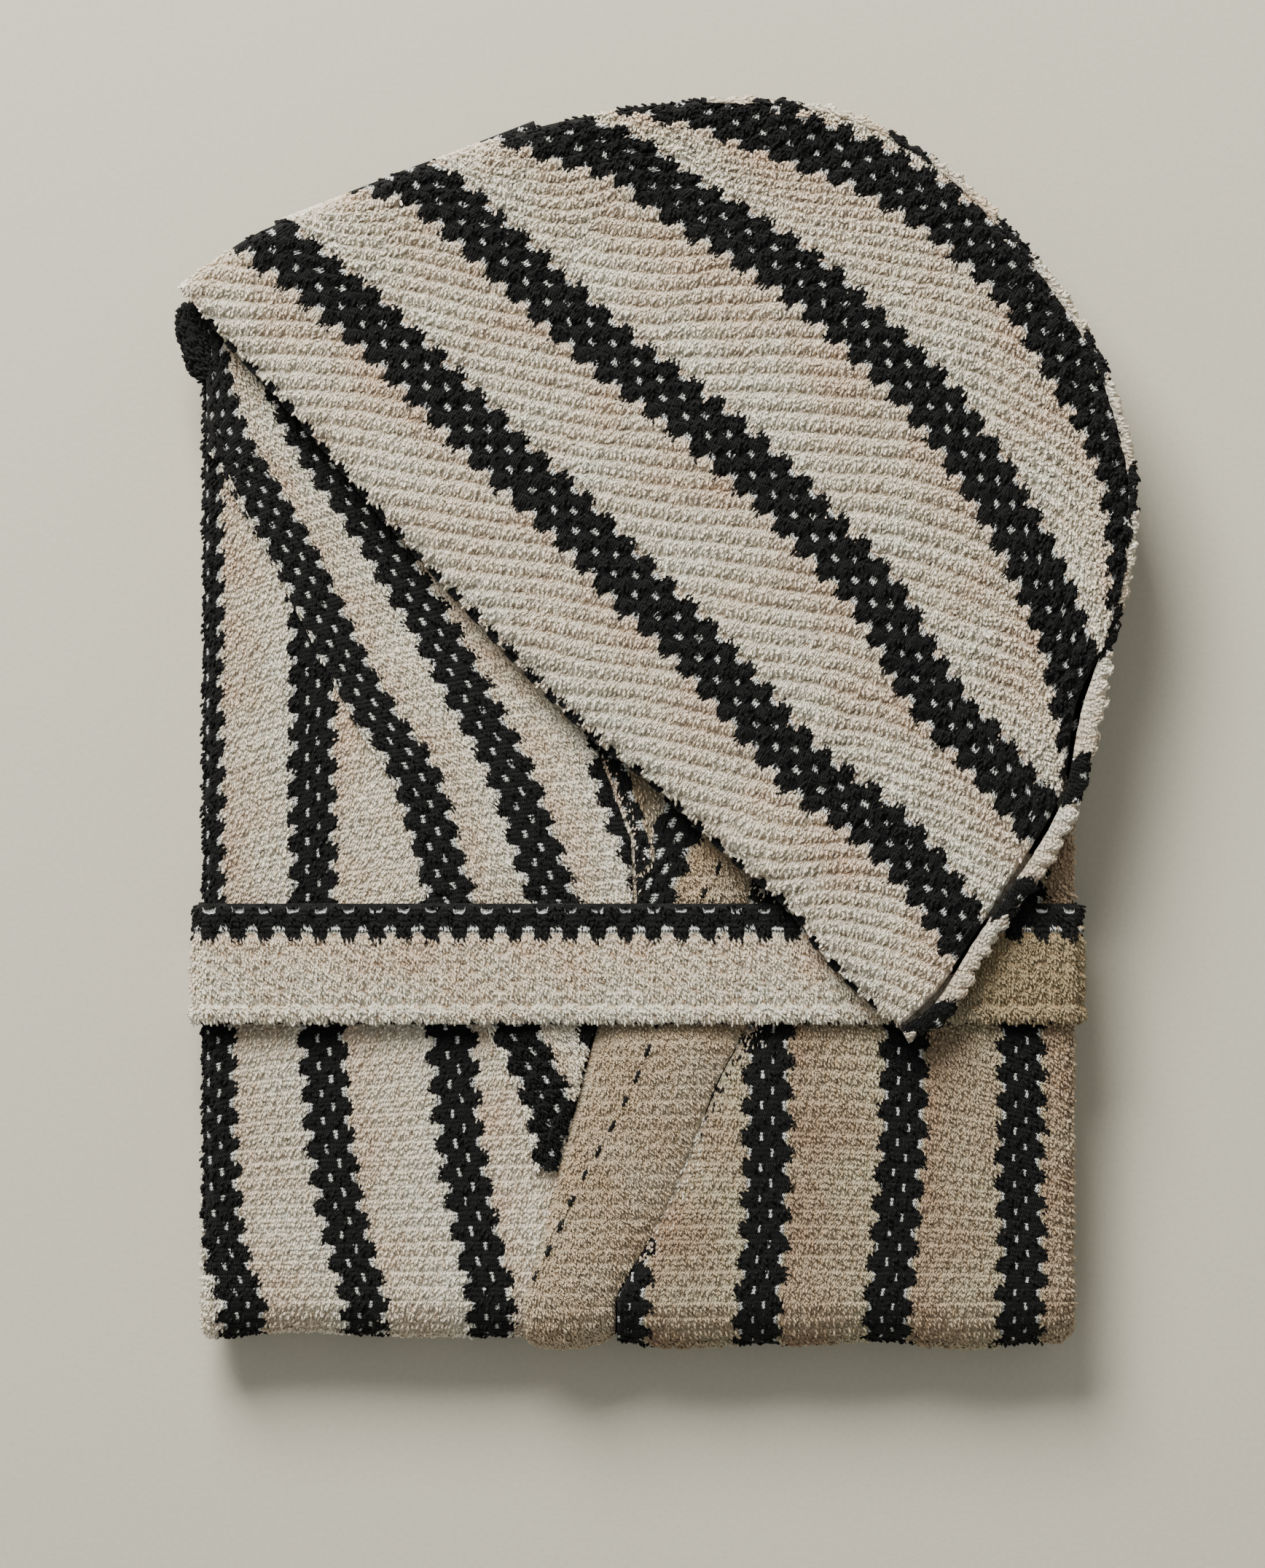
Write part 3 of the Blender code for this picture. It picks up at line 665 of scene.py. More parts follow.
def terry(name, cream_columns, window, grade=1, ivory=IVORY, beige=BEIGE, slits=0.5, loops=BODY_LOOPS,
          teeth=3, warm=0.02, notch=1.72, ribbed=False, painted_shade_from=None):
    """Cotton terry in stripes. grade 1 runs from beige to ivory after a black stripe, -1 the other way.

    window is the half size of a window in columns and rows, teeth how many loops show on the edge of
    a block, warm how much beige is added everywhere and slits how dark the slits are. notch is how far
    out, in columns, the white ground shows between the black blocks before the cream begins.
    The last argument is where, in metres to the right, painted shade begins: the cream darkens to the
    brown of the shaded cloth beside it, for the shadow that the hood casts there.
    """
    material, tree, shader = new_material(name)
    place = add(tree, "ShaderNodeTexCoord", [], output=3)
    pile_map = add(tree, "ShaderNodeUVMap", [], uv_map="pile")
    up_the_pile, on_loop = add(tree, "ShaderNodeSeparateXYZ", [pile_map]).node.outputs[:2]
    # Painted shade: the lower a point stands in the pile, the darker its colour
    depth = add(tree, RANGE, [up_the_pile, 0.0, 1.0, 0.72, 1.04])
    on_cloth = add(tree, MATH, [1.0, on_loop], operation="SUBTRACT")
    column, row, c, s, w = weave_sockets(tree, place, cream_columns)
    black, from_centre = stripe_sockets(tree, row, c, s, teeth)
    along, thread, opening = window_sockets(tree, row, c, w, window)
    slit = slit_socket(tree, row, c, w, along, ribbed)
    fibre, pile = loop_sockets(tree, place, column, row, loops)
    cream = cream_socket(tree, place, c, cream_columns, grade, ivory, beige, warm, painted_shade_from)

    # The white ground shows on the cloth itself, in the windows and in the notches beside the black
    bare_thread = add(tree, MATH, [on_cloth, thread], operation="MULTIPLY")
    ground = add(tree, MATH, [opening, bare_thread], operation="MULTIPLY")
    near_stripe = add(tree, RANGE, [from_centre, notch - 0.08, notch + 0.04, 1.0, 0.0])
    in_notch = add(tree, MATH, [near_stripe, on_cloth], operation="MULTIPLY")

    # Painted shade: cream darkens down the pile, towards the roots of the loops and the cloth under them,
    # and in the slits between the bricks. The black and the ground are laid over it
    slit_depth = add(tree, MATH, [slit, slits], operation="MULTIPLY")
    lit_cream = add(tree, "ShaderNodeVectorMath", {0: cream, "Scale": depth}, operation="SCALE")
    slitted = add(tree, MIX, {0: slit_depth, 6: lit_cream, 7: linear(TAN)}, **COLOUR)
    dark = add(tree, MIX, {0: fibre, 6: linear(BLACK), 7: linear(BLACK_LOOP)}, **COLOUR)
    windowed = add(tree, MIX, {0: ground, 6: dark, 7: linear(GROUND)}, **COLOUR)
    mesh_ground = add(tree, MIX, {0: thread, 6: linear(BLACK), 7: linear(GROUND)}, **COLOUR)
    bordered = add(tree, MIX, {0: in_notch, 6: slitted, 7: mesh_ground}, **COLOUR)
    striped = add(tree, MIX, {0: black, 6: bordered, 7: windowed}, **COLOUR)
    # Painted highlight and shade: the pile's waves lighten the loops and darken the gaps between them
    light = add(tree, RANGE, [pile, -1.3, 1.3, 0.80, 1.26])
    shaded = add(tree, "ShaderNodeVectorMath", {0: striped, "Scale": light}, operation="SCALE")
    tree.links.new(shaded, shader.inputs["Base Color"])

    # Relief finer than the mesh
    sunk = add(tree, MATH, [slit, -1.5, pile], operation="MULTIPLY_ADD")
    bump = add(tree, "ShaderNodeBump", {"Height": sunk, "Strength": 0.9, "Distance": 0.0005})
    tree.links.new(bump, shader.inputs["Normal"])
    shader.inputs["Roughness"].default_value = 0.96
    shader.inputs["Specular IOR Level"].default_value = 0.15
    shader.inputs["Sheen Weight"].default_value = 0.04
    shader.inputs["Sheen Roughness"].default_value = 0.6
    print("material", name, "nodes", len(tree.nodes))
    return material


# %% Terry finishes

# Half size of a window in columns and rows, which the loops leave open too
BODY_WINDOW, HOOD_WINDOW, COLLAR_WINDOW, BELT_WINDOW = (0.20, 0.34), (0.25, 0.27), (0.24, 0.32), (0.13, 0.47)
BELT_NOTCH = 1.8
body_terry = terry("terry_cotton_body", 5, BODY_WINDOW)
hood_terry = terry("terry_cotton_hood", 5, HOOD_WINDOW, grade=-1, loops=HOOD_LOOPS, teeth=4, ribbed=True)
collar_terry = terry("terry_cotton_collar", 3, COLLAR_WINDOW)
# Painted shade: the right front's cream is darker and warmer for the shade that lies on it
shaded_front_terry = terry("terry_cotton_front_painted_shade", 5, (0.15, 0.28), warm=0.12, ivory=SHADED_IVORY,
                   beige=SHADED_BEIGE)
# Painted shade: the roll's cream is darker for the shade it lies in
roll_terry = terry("terry_cotton_roll", 27, (0.34, 0.40), ivory=ROLL_IVORY, beige=ROLL_BEIGE)
# Painted shade: the belt's cream browns from 55 mm right of the middle, where the hood shades its end
belt_terry = terry("terry_cotton_belt", 5, BELT_WINDOW, loops=BELT_LOOPS, notch=BELT_NOTCH,
                   painted_shade_from=0.055, slits=0.8)

# %% [markdown]
# ## The folded stack
# The two fronts and the back lie in layers that go down the front, round the bottom fold and back
# under. One function places any point of any layer, from how far down it is and how deep in the stack
# it lies, so all layers turn the fold together and never cross.

# %% Where a layer lies

SHOULDER = [(-138.5, 126), (-123, 144), (-79, 163), (-34, 177.5), (17, 185.5), (58, 181.5), (94, 161),
            (120, 128), (131, 100)]
shoulder_y = straight([tuple(p) for p in smooth_curve(SHOULDER, 5)])


def folded(x, s, depth):
    """Point of the stack: y = -s down the front, a half circle round the fold, then y grows again.

    The lower run lies RELIEF higher behind the belt, and eases down to the floor past it. The fold
    itself wavers by a millimetre along x.
    """
    x, s, depth = np.broadcast_arrays(x, s, depth)
    angle = np.clip((s - TURN_START) / TURN_LENGTH, 0, 1) * np.pi
    radius = FOLD_RADIUS - depth
    under = np.maximum(s - UNDER_START, 0)
    uneven = 0.8 * np.sin(x / 13) + 0.5 * np.sin(x / 7.3 + 1)
    y = under - np.minimum(s, TURN_START) - (radius + uneven) * np.sin(angle)
    ramp = np.clip((y - BELT_UPPER - 4) / 8, 0, 1) * (under > 0)
    z = RELIEF + FOLD_RADIUS + radius * np.cos(angle) - RELIEF * ramp * ramp * (3 - 2 * ramp)
    return np.stack([x, y, z], axis=-1)


def down_the_front(x, s):
    """The rows above the bottom fold spread so that the first one follows the shoulder."""
    part = np.maximum(0, (TURN_START - s) / (TURN_START - TOP_ROW))
    return np.where(s < TURN_START, s - part * (shoulder_y(x) + TOP_ROW), s)


def settle(x_of, s):
    """Points of a layer whose edges are given by true height: x and the height agree after a few turns."""
    y = np.maximum(-s, -TURN_START)
    for _ in range(6):
        x = x_of(y)
        y = np.maximum(-down_the_front(x, s), -TURN_START)
    return x, y


# %% [markdown]
# ## The two fronts
# Each front lies flat from its free edge to the side, turns round the side fold and ends behind the
# back panel. Seen in section it is a straight, a half circle and a short straight. The stripes run
# down the cloth, so they are curves given by a few points each, and the distance from them round the
# section gives the columns of the weave.

# %% One front

ROW = 4.8                # height of one row of blocks, mm
STRIPE = 7.0             # half width of a black stripe, mm
STRIPE_PITCH = 41.4
RISE = 0.50              # how far the pile of the fronts stands up or down, mm


def front(name, free_edge, side, depth, stripes, swell, material):
    """One front as a closed cloth. swell(x, y) lifts or lowers its upper face in mm."""
    s = steps([TOP_ROW, 40.0, UNDER_START - 10, SKIRT_END], [1.5, 1.2, 2.4])[:, None]
    inward = 1 if side < 0 else -1
    radius = (STRIP_DEPTH - depth) / 2
    centre = side + inward * (radius + CLOTH / 2)
    flat_count, turn_count, strip_count = 92, 16, 16     # columns on top, round the side, and behind
    share = np.linspace(0, 1, flat_count + 1)[:-1]
    flat, _ = settle(lambda y: free_edge(y) + (centre - free_edge(y)) * share, s)
    turn = np.linspace(0, np.pi, turn_count + 1)[None, :]
    strip = np.linspace(centre, side + inward * SIDE_STRIP, strip_count + 1)[None, 1:]
    ones = np.ones_like(s)
    x = np.hstack([flat, ones * (centre - inward * radius * np.sin(turn)), ones * strip])
    layer_depth = np.hstack([depth + 0 * flat, ones * (depth + radius - radius * np.cos(turn)),
                             ones * STRIP_DEPTH + 0 * strip])
    normal_x = np.hstack([0 * flat, ones * (-inward * np.sin(turn)), 0 * ones * strip])
    normal_depth = np.hstack([0 * flat - 1, ones * -np.cos(turn), 0 * ones * strip + 1])
    outside = radius + CLOTH / 2
    unrolled = np.hstack([flat, ones * (centre - inward * outside * turn),
                          ones * (centre - inward * (outside * np.pi + np.abs(strip - centre)))])
    y = np.maximum(-down_the_front(x, s), -TURN_START)
    distances = [unrolled - middle(y) for middle in stripes]
    column = column_number(distances, STRIPE, 5, STRIPE_PITCH)
    row = (s + 0.6 * soft_noise(unrolled, s, 90)) / ROW + 0 * column
    at = down_the_front(x, s)
    upper = (normal_depth < -0.5) * smoothstep(-s, -TURN_START, -TURN_START + 15)
    lift = RISE * relief(column, row, 5) + upper * swell(x, -at) - 0.35
    half = CLOTH / 2
    outer = folded(x + (half + lift) * normal_x, at, layer_depth + (half + lift) * normal_depth)
    inner = folded(x - half * normal_x, at, layer_depth - half * normal_depth)
    weave = np.stack([column, row], -1)
    shown = s[:, 0] < UNDER_START - 12
    side_end = flat_count + turn_count // 2 + 2
    loops = add_loops(name + "_loops", outer[shown][:, :side_end], weave[shown][:, :side_end], material,
                      5, BODY_WINDOW, (1.7, 1.2), (-0.3 * inward, -0.95), (2.0, 0.48), 0.25)
    cloth = add_cloth(name, outer, inner, weave, material, UNDER_LOOPS)
    return cloth, dress(loops, "robe")


# %% Edges and stripes of the fronts

RIGHT_SEAM = [(186, 60), (100, 60), (40, 46), (-55, 30), (-93.4, 29.9), (-109.1, 21.4), (-145.8, 6.8),
              (-181.1, -12.8), (-190, -20)]
right_seam = straight(RIGHT_SEAM)
RIGHT_STRIPES = [[(190, 34), (-60, 36.8), (-97, 36.5), (-134, 36), (-170, 34.4), (-191, 30)],
                 [(190, 79), (-97, 78.5), (-134, 77.2), (-170, 74.5), (-191, 70.2)],
                 [(190, 115), (-97, 114.8), (-134, 114.1), (-170, 115), (-191, 111.8)]]
LEFT_STRIPES = [[(190, -139), (-55, -138.6), (-90, -135.5), (-130, -134.6), (-162, -131.6), (-190, -120.5)],
                [(190, -104), (-55, -104.2), (-90, -101.7), (-130, -98.6), (-162, -92.7), (-190, -84)],
                [(190, -64), (-55, -63.5), (-90, -61.7), (-130, -58.5), (-162, -52.4), (-190, -46)]]
LEFT_FREE_EDGE = [(154, -80), (-55, 40), (-190, 40)]


def right_swell(x, y):
    """A soft hollow beside the rolled collar and slack folds running down the front."""
    beside = np.exp(-((x - right_seam(y)) / 9) ** 2)
    return -2.5 * beside + 0.3 * soft_noise(x, 0.4 * y, 60) - 0.25


def left_swell(x, y):
    """Slack folds, and a little more body all over."""
    return 0.35 * soft_noise(x, 0.4 * y, 70) + 0.4


# %% Both fronts

right_front, right_loops = front("right_front_cloth", lambda y: right_seam(y) + GAP, RIGHT, RIGHT_DEPTH,
                                 [between(p) for p in RIGHT_STRIPES], right_swell, shaded_front_terry)
left_front, left_loops = front("left_front_cloth", straight(LEFT_FREE_EDGE), LEFT, LEFT_DEPTH,
                               [between(p) for p in LEFT_STRIPES], left_swell, body_terry)
fit(right_front, "robe", "right_front")
fit(left_front, "robe", "left_front")

# %% [markdown]
# ## The back panel
# The back is one straight width of the same cloth between the two side folds. It is nearly hidden, so
# it is a plain layer of the stack with a coarser grid.

# %% A flat layer between two edges

made_grids = {}          # outer grid and weave of each flat layer, to set loops and stitches on


def flat_layer(name, left_edge, right_edge, depth, s, column_of, material, rise, count, shape,
               cream_columns=5, row_height=ROW, round_edge=0.0, pile=BARE):
    """A layer that lies between two edges; column_of(x, y) gives its weave, shape(x, y, share) its swell."""
    s = s[:, None]
    share = np.linspace(0, 1, count + 1)[None, :]
    x, y = settle(lambda y: left_edge(y) + (right_edge(y) - left_edge(y)) * share, s)
    column = column_of(x, y)
    row = s / row_height + 0 * column
    at = down_the_front(x, s)
    lift = rise * relief(column, row, cream_columns) + shape(x, -at, share)
    if round_edge:
        room = np.minimum(x - left_edge(y), right_edge(y) - x)
        inside = np.clip(1 - room / round_edge, 0, 1)
        lift = lift - round_edge * 0.8 * (1 - np.sqrt(1 - inside ** 2))
    half = CLOTH / 2
    outer = folded(x, at, depth - half - lift)
    inner = folded(x, at, depth + half + 0 * x)
    weave = np.stack([column, row], -1)
    made_grids[name] = (outer, weave)
    return add_cloth(name, outer, inner, weave, material, pile)


# %% Back panel and hems


def plain_columns(x, y):
    """Straight stripes at the pitch of the cloth."""
    return column_number([x - 36.0 + 0 * y], STRIPE, 5, STRIPE_PITCH)


back_panel = flat_layer("back_panel_cloth", lambda y: LEFT + 4.2 + 0 * y, lambda y: RIGHT - 5.2 + 0 * y,
                        BACK_DEPTH, steps([TOP_ROW, SKIRT_END], [2.4]), plain_columns, body_terry, 0.2, 108,
                        lambda x, y, share: 0 * x - 0.2)
fit(back_panel, "robe", "back_panel")

HEM_DEPTH = 20.0
hem_rows = steps([SKIRT_END + GAP, SKIRT_END + HEM_DEPTH], [1.6])
for node, low, high, depth in (("right_hem", -19.0, RIGHT - 6, RIGHT_DEPTH),
                               ("left_hem", LEFT + 6, 40.0, LEFT_DEPTH),
                               ("back_hem", LEFT + 6, RIGHT - 6, BACK_DEPTH)):
    hem = flat_layer(node + "_cloth", lambda y: low + 0 * y, lambda y: high + 0 * y, depth, hem_rows,
                     plain_columns, body_terry, 0.2, 120, lambda x, y, share: 0 * x - 0.1)
    fit(hem, "robe", node)

# %% [markdown]
# ## The shawl collar
# The collar is a separate, softer strip cut from the same cloth and turned back. Its left half lies
# over the left front with three black stripes on the slant. Its right half is rolled into a thick fold
# that runs down to the hem with a dashed black seam line, and its edge is rounded.

# %% Seams and stripes of the collar's left half

COLLAR_ROW = 4.6
LEFT_SEAM = [(128, -138), (84, -136.6), (46, -115.2), (1, -91.8), (-19, -79.2), (-56.5, -68.4),
             (-93.6, -50.4), (-118, -38.9), (-136, -35.3)]
LEFT_EDGE = [(154, -90), (110, -85), (60, -45), (-2.5, -18.2), (-35, -6), (-55, -5), (-75, -10),
             (-92.7, -17), (-115.7, -23.2), (-136, -29)]
STRIPE_A = [(128, -140), (103, -135.7), (88, -130.5), (74, -122), (50, -108.5), (25, -97), (4.5, -85.5),
            (-15.5, -72.5), (-55, -61), (-91, -43), (-116, -31.5), (-136, -28)]
STRIPE_B = [(150, -128), (115, -116), (86, -103.5), (60, -85.5), (32, -68.4), (8, -55.4), (-16, -43),
            (-55, -29.7), (-91, -16.2), (-136, 2)]
STRIPE_C = [(150, -96), (60, -40), (8, -12.5), (-3.4, -10.6), (-16, -10.3), (-35, -3.5), (-50, 2),
            (-91, 15), (-136, 33)]
stripe_a, stripe_b, stripe_c = between(STRIPE_A), between(STRIPE_B), between(STRIPE_C)


SLANT = 0.87             # distance square to a slanted stripe over the level distance
COLLAR_STRIPE = 6.6      # half width of a collar's black stripe, mm


def left_collar_columns(x, y):
    """Three slanted stripes, with narrow cream between them."""
    return column_number([SLANT * (x - stripe(y)) for stripe in (stripe_a, stripe_b, stripe_c)],
                         COLLAR_STRIPE, 3, 27.5)


def left_collar_shape(x, y, share):
    """Puffy above the belt, pressed flat under it and below."""
    free = smoothstep(y, BELT_UPPER, BELT_UPPER + 12)
    return free * (1.1 * np.sin(np.pi * np.clip(share, 0, 1)) + 0.3 * soft_noise(x, y, 40)) - 0.35


# %% Left half of the collar

left_collar = flat_layer("left_collar_cloth", straight(LEFT_SEAM), straight(LEFT_EDGE), RIGHT_DEPTH,
                         steps([TOP_ROW, 136.0], [0.95]), left_collar_columns, collar_terry, 0.42, 88,
                         left_collar_shape, 3, COLLAR_ROW, 2.2, UNDER_LOOPS)
fit(left_collar, "robe", "left_collar")
outer, weave = made_grids["left_collar_cloth"]
left_collar_loops = dress(add_loops("left_collar_loops", outer, weave, collar_terry, 3, COLLAR_WINDOW,
                                    (1.5, 1.0), (0.5, -0.85)), "robe")

# %% Right half of the collar

RIGHT_EDGE = [(186, 20), (100, 10), (40, -10), (-2.5, -17.2), (-35, -5), (-55, -4), (-75, -9), (-92.7, -16),
              (-115.7, -22.2), (-138.6, -28.4), (-173, -37.6), (-190, -45)]
right_edge = straight(RIGHT_EDGE)


def right_collar_columns(x, y):
    """Two black stripes under the hood, which leave at the left edge; the roll below is all cream."""
    stripe = straight([(190, 50), (40, 27), (-23, 11.7), (-56, -1.6), (-80, -16), (-92, -32), (-190, -85)])
    edge = straight([(190, 20), (40, -11), (-2.5, -14.2), (-16, -13.4), (-30, -9), (-42, -6), (-56, -22),
                     (-80, -50), (-190, -120)])
    return column_number([SLANT * (x - edge(y)), SLANT * (x - stripe(y))], COLLAR_STRIPE, 27, 156.0)


def right_collar_shape(x, y, share):
    """A rolled fold: high in the middle, turned down at both sides."""
    ends = np.sin(np.pi * np.clip(share, 0, 1)) ** 0.7
    free = smoothstep(-y, -BELT_LOWER, 8 - BELT_LOWER)
    return 2.7 * (ends - 1) + 1.9 * free * ends + 0.2 * soft_noise(x, y, 50)


right_collar = flat_layer("right_collar_cloth", straight(RIGHT_EDGE), right_seam, RIGHT_DEPTH,
                          steps([TOP_ROW, 40.0, UNDER_START - 4, UNDER_START + 60], [1.4, 0.85, 2.0]),
                          right_collar_columns, roll_terry, 0.4, 60, right_collar_shape, 27, COLLAR_ROW,
                          pile=UNDER_LOOPS)
fit(right_collar, "robe", "right_collar")
TURNED_UNDER = 30        # rows at the lower end that no loops are set on
outer, weave = (grid[:-TURNED_UNDER, 2:-2] for grid in made_grids["right_collar_cloth"])
roll_loops = dress(add_loops("right_collar_loops", outer, weave, roll_terry, 27, COLLAR_WINDOW,
                             (1.6, 1.1), (0.3, -0.9)), "robe")

# %% Seam stitches


def resting(points, grid):
    """Points (x, y) put on the upper side of a cloth grid."""
    flat = grid.reshape(-1, 3)
    flat = flat[flat[:, 2] > np.median(flat[:, 2]) - 8]
    gap = np.linalg.norm(points[:, None] - flat[None, :, :2], axis=2)
    return np.column_stack([points, flat[gap.argmin(axis=1), 2]])


def along(curve, spacing):
    """Points spaced along a curve and the level direction of each."""
    points = even_points(curve, max(2, round(path_length(curve) / spacing) + 1))
    tangent = unit(np.gradient(points, axis=0))
    return points, np.column_stack([tangent, 0 * tangent[:, 0]])


UPWARD = np.array([0.0, 0.0, 1.0])
ROLL_SEAM = [(23.6, -36), (20.5, -45.7), (15.3, -55.4), (0.5, -97.2), (-4.3, -109.4), (-12.8, -126),
             (-22.1, -142.7), (-28.8, -157.5), (-35.1, -170.1)]
points, heading = along(smooth_curve(ROLL_SEAM), 8.55)
root = resting(points, made_grids["right_collar_cloth"][0]) + 0.25 * UPWARD - 2.4 * heading
black_place = np.tile([2.0, 0.0], (len(root), 1))
dress(yarn("roll_seam_stitches", root, heading, UPWARD + 0 * root, 4.9, 1.05, black_place, roll_terry),
      "robe")

points, heading = along(np.array([(-130.5, 77.9), (-118.6, 52.9)]), 2.2)
root = resting(points, made_grids["left_collar_cloth"][0]) + 0.6 * UPWARD
white_place = np.tile([5.5, 0.5], (len(root), 1))
dress(yarn("collar_seam_thread", root, heading, UPWARD + 0 * root, 2.6, 0.22, white_place, collar_terry),
      "robe")

# %% End of the collar: a small thick bunch of black loops that sticks out past the side

BUNCH_RINGS, BUNCH_SIDES = 25, 30
bunch_run = np.linspace(0, 1, BUNCH_RINGS)[:, None]
bunch_turn = np.linspace(0, 2 * np.pi, BUNCH_SIDES + 1)[None, :-1]
bunch_radius = 5.4 * (1 - np.abs(2 * bunch_run - 1) ** 3) ** 0.5 + 0.6
bunch_x = -142.0 + 7.0 * bunch_run + bunch_radius * np.cos(bunch_turn)
bunch_y = 130.0 - 24.0 * bunch_run + 0.2 * bunch_radius * np.cos(bunch_turn)
bunch_z = HOOD_BASE - 6.6 + bunch_radius * np.sin(bunch_turn)
bunch = np.stack([bunch_x, bunch_y, bunch_z], axis=-1)
bunch_weave = np.tile([2.0, 0.0], (bunch.shape[0], bunch.shape[1], 1))
index = np.arange(BUNCH_RINGS * BUNCH_SIDES).reshape(BUNCH_RINGS, BUNCH_SIDES)
caps = [index[0][None, ::-1], index[-1][None, :]]
collar_end = add_piece("collar_end", bunch.reshape(-1, 3), [quads(np.hstack([index, index[:, :1]]))] + caps,
                       bunch_weave.reshape(-1, 2), collar_terry)
end_loops = add_loops("collar_end_loops", bunch, bunch_weave, collar_terry, 3, COLLAR_WINDOW, (0.9, 0.9),
                      (-0.6, 0.7), (2.8, 0.5))
dress([collar_end] + end_loops, "robe")

# %% [markdown]
# ## Sleeves, cuffs and belt loops
# The sleeves are tubes of the same cloth, pressed flat behind the back. A flattened tube in section is
# a slot with round ends, and its wall runs round a thin slit, so each is one band carried along y.

# %% Flattened tubes


def slot_section(width, height, count):
    """Closed section of a flattened tube: two straights and two half circles, as (across, up)."""
    radius = height / 2
    turn = np.linspace(-np.pi / 2, np.pi / 2, 9)
    right = np.stack([width / 2 - radius + radius * np.cos(turn), radius * np.sin(turn)], axis=1)
    loop = np.vstack([right, -right])
    return even_points(np.vstack([loop, loop[:1]]), count + 1)[:-1]


def add_tube(name, rings, weave, material, pile=BARE):
    """Close rows of rings, taken in order round a wall, into one hollow band."""
    count, around = rings.shape[:2]
    index = np.arange(count * around).reshape(count, around)
    index = np.vstack([index, index[:1]])
    index = np.hstack([index, index[:, :1]])
    return add_piece(name, rings.reshape(-1, 3), [quads(index)], weave.reshape(-1, 2), material,
                     [flat_grid(index.shape, 0.002, 0.998)], pile)


SECTION_POINTS, OUTER_STEP, INNER_ROWS, SLIT_HEIGHT = 120, 2.0, 6, 1.2


def sleeve(name, centre_x, width, height, y_from, y_to, middle_z):
    """Outer wall out and back in along y, with the weave running round it."""
    outer = slot_section(width, height, SECTION_POINTS)
    inner = slot_section(width - 2 * CLOTH, SLIT_HEIGHT, SECTION_POINTS)
    y_out = np.linspace(y_from, y_to, max(4, round(abs(y_to - y_from) / OUTER_STEP)))
    y_in = np.linspace(y_to, y_from, INNER_ROWS)
    y = np.concatenate([y_out, y_in])[:, None]
    wall = np.concatenate([np.ones(len(y_out)), np.zeros(INNER_ROWS)])[:, None]
    across = outer[:, 0] * wall + inner[:, 0] * (1 - wall)
    up = outer[:, 1] * wall + inner[:, 1] * (1 - wall)
    around = np.concatenate([[0], np.cumsum(np.hypot(*np.diff(outer, axis=0).T))])[None, :]
    column = column_number([around + 0 * y], STRIPE, 5, STRIPE_PITCH)
    row = y / ROW + 0 * column
    pull = 1 - 0.10 * wall * (1 - relief(column, row, 5)) / 2
    rings = np.stack([centre_x + across, y + 0 * across, middle_z + up * pull], axis=-1)
    return add_tube(name, rings, np.stack([column, row], -1), body_terry)


# %% Sleeves and cuffs

for side in ("left", "right"):
    for part, beneath in (("sleeve", "back_panel_cloth"), ("cuff", side + "_sleeve_cloth")):
        node = side + "_" + part
        (x_low, x_high), (y_low, y_high), (z_low, z_high) = (extent(node, axis) for axis in range(3))
        tube = sleeve(node + "_cloth", (x_low + x_high) / 2, x_high - x_low, z_high - z_low, y_high, y_low,
                      (z_low + z_high) / 2)
        fit(tube, "robe", node)

# %% Belt loops


def rounded_loop(width, height, corner, count):
    """Rounded rectangle about the origin cut into equal steps, with its outward normals."""
    turn = np.linspace(0, np.pi / 2, 7)
    points, normals = [], []
    for quarter, (sx, sy) in enumerate(((1, 1), (-1, 1), (-1, -1), (1, -1))):
        angle = turn + quarter * np.pi / 2
        direction = np.stack([np.cos(angle), np.sin(angle)], axis=1)
        points.append(np.array([sx * (width / 2 - corner), sy * (height / 2 - corner)]) + corner * direction)
        normals.append(direction)
    both = np.hstack([np.vstack(points), np.vstack(normals)])
    both = np.vstack([both, both[:1]])
    length = np.concatenate([[0], np.cumsum(np.hypot(*np.diff(both[:, :2], axis=0).T))])
    at = np.linspace(0, length[-1], count, endpoint=False)
    path = np.stack([np.interp(at, length, both[:, i]) for i in range(4)], axis=1)
    return path[:, :2], path[:, 2:] / np.linalg.norm(path[:, 2:], axis=1)[:, None], at


LOOP_WALL, LOOP_POINTS, LOOP_ROWS, TWIST = 0.8, 96, 7, 1.6
for side in ("left", "right"):
    node = side + "_belt_loop"
    (x_low, x_high), (y_low, y_high), (z_low, z_high) = (extent(node, axis) for axis in range(3))
    long, tall = y_high - y_low - LOOP_WALL, z_high - z_low - LOOP_WALL
    path, normal, at = rounded_loop(long, tall, tall / 2 - 0.01, LOOP_POINTS)
    out = np.linspace(x_low, x_high, LOOP_ROWS)
    across = np.concatenate([out, out[::-1]])[:, None]
    offset = LOOP_WALL / 2 * np.repeat([1.0, -1.0], LOOP_ROWS)[:, None]
    bow = 0.06 * np.cos(2 * np.pi * at / TWIST)[None, :]
    y = (y_low + y_high) / 2 + path[:, 0] + (offset + 0.5 * bow) * normal[:, 0]
    z = (z_low + z_high) / 2 + path[:, 1] + offset * normal[:, 1]
    rings = np.stack([across + 0 * y, y, z], axis=-1)
    weave = np.stack([6.5 + (across - x_low) / 4 + 0 * y, at[None, :] / ROW + 0 * y], -1)
    loop = add_tube(node + "_cloth", rings, weave, body_terry)
    fit(loop, "robe", node)

# %% [markdown]
# ## Neck tape and hanger loop
# A flat woven tape covers the neck seam inside, and a round cord is sewn under it to hang the robe by.
# Both keep the shape that the model gives them and get a fine woven finish of their own.

# %% Tape and cord finishes


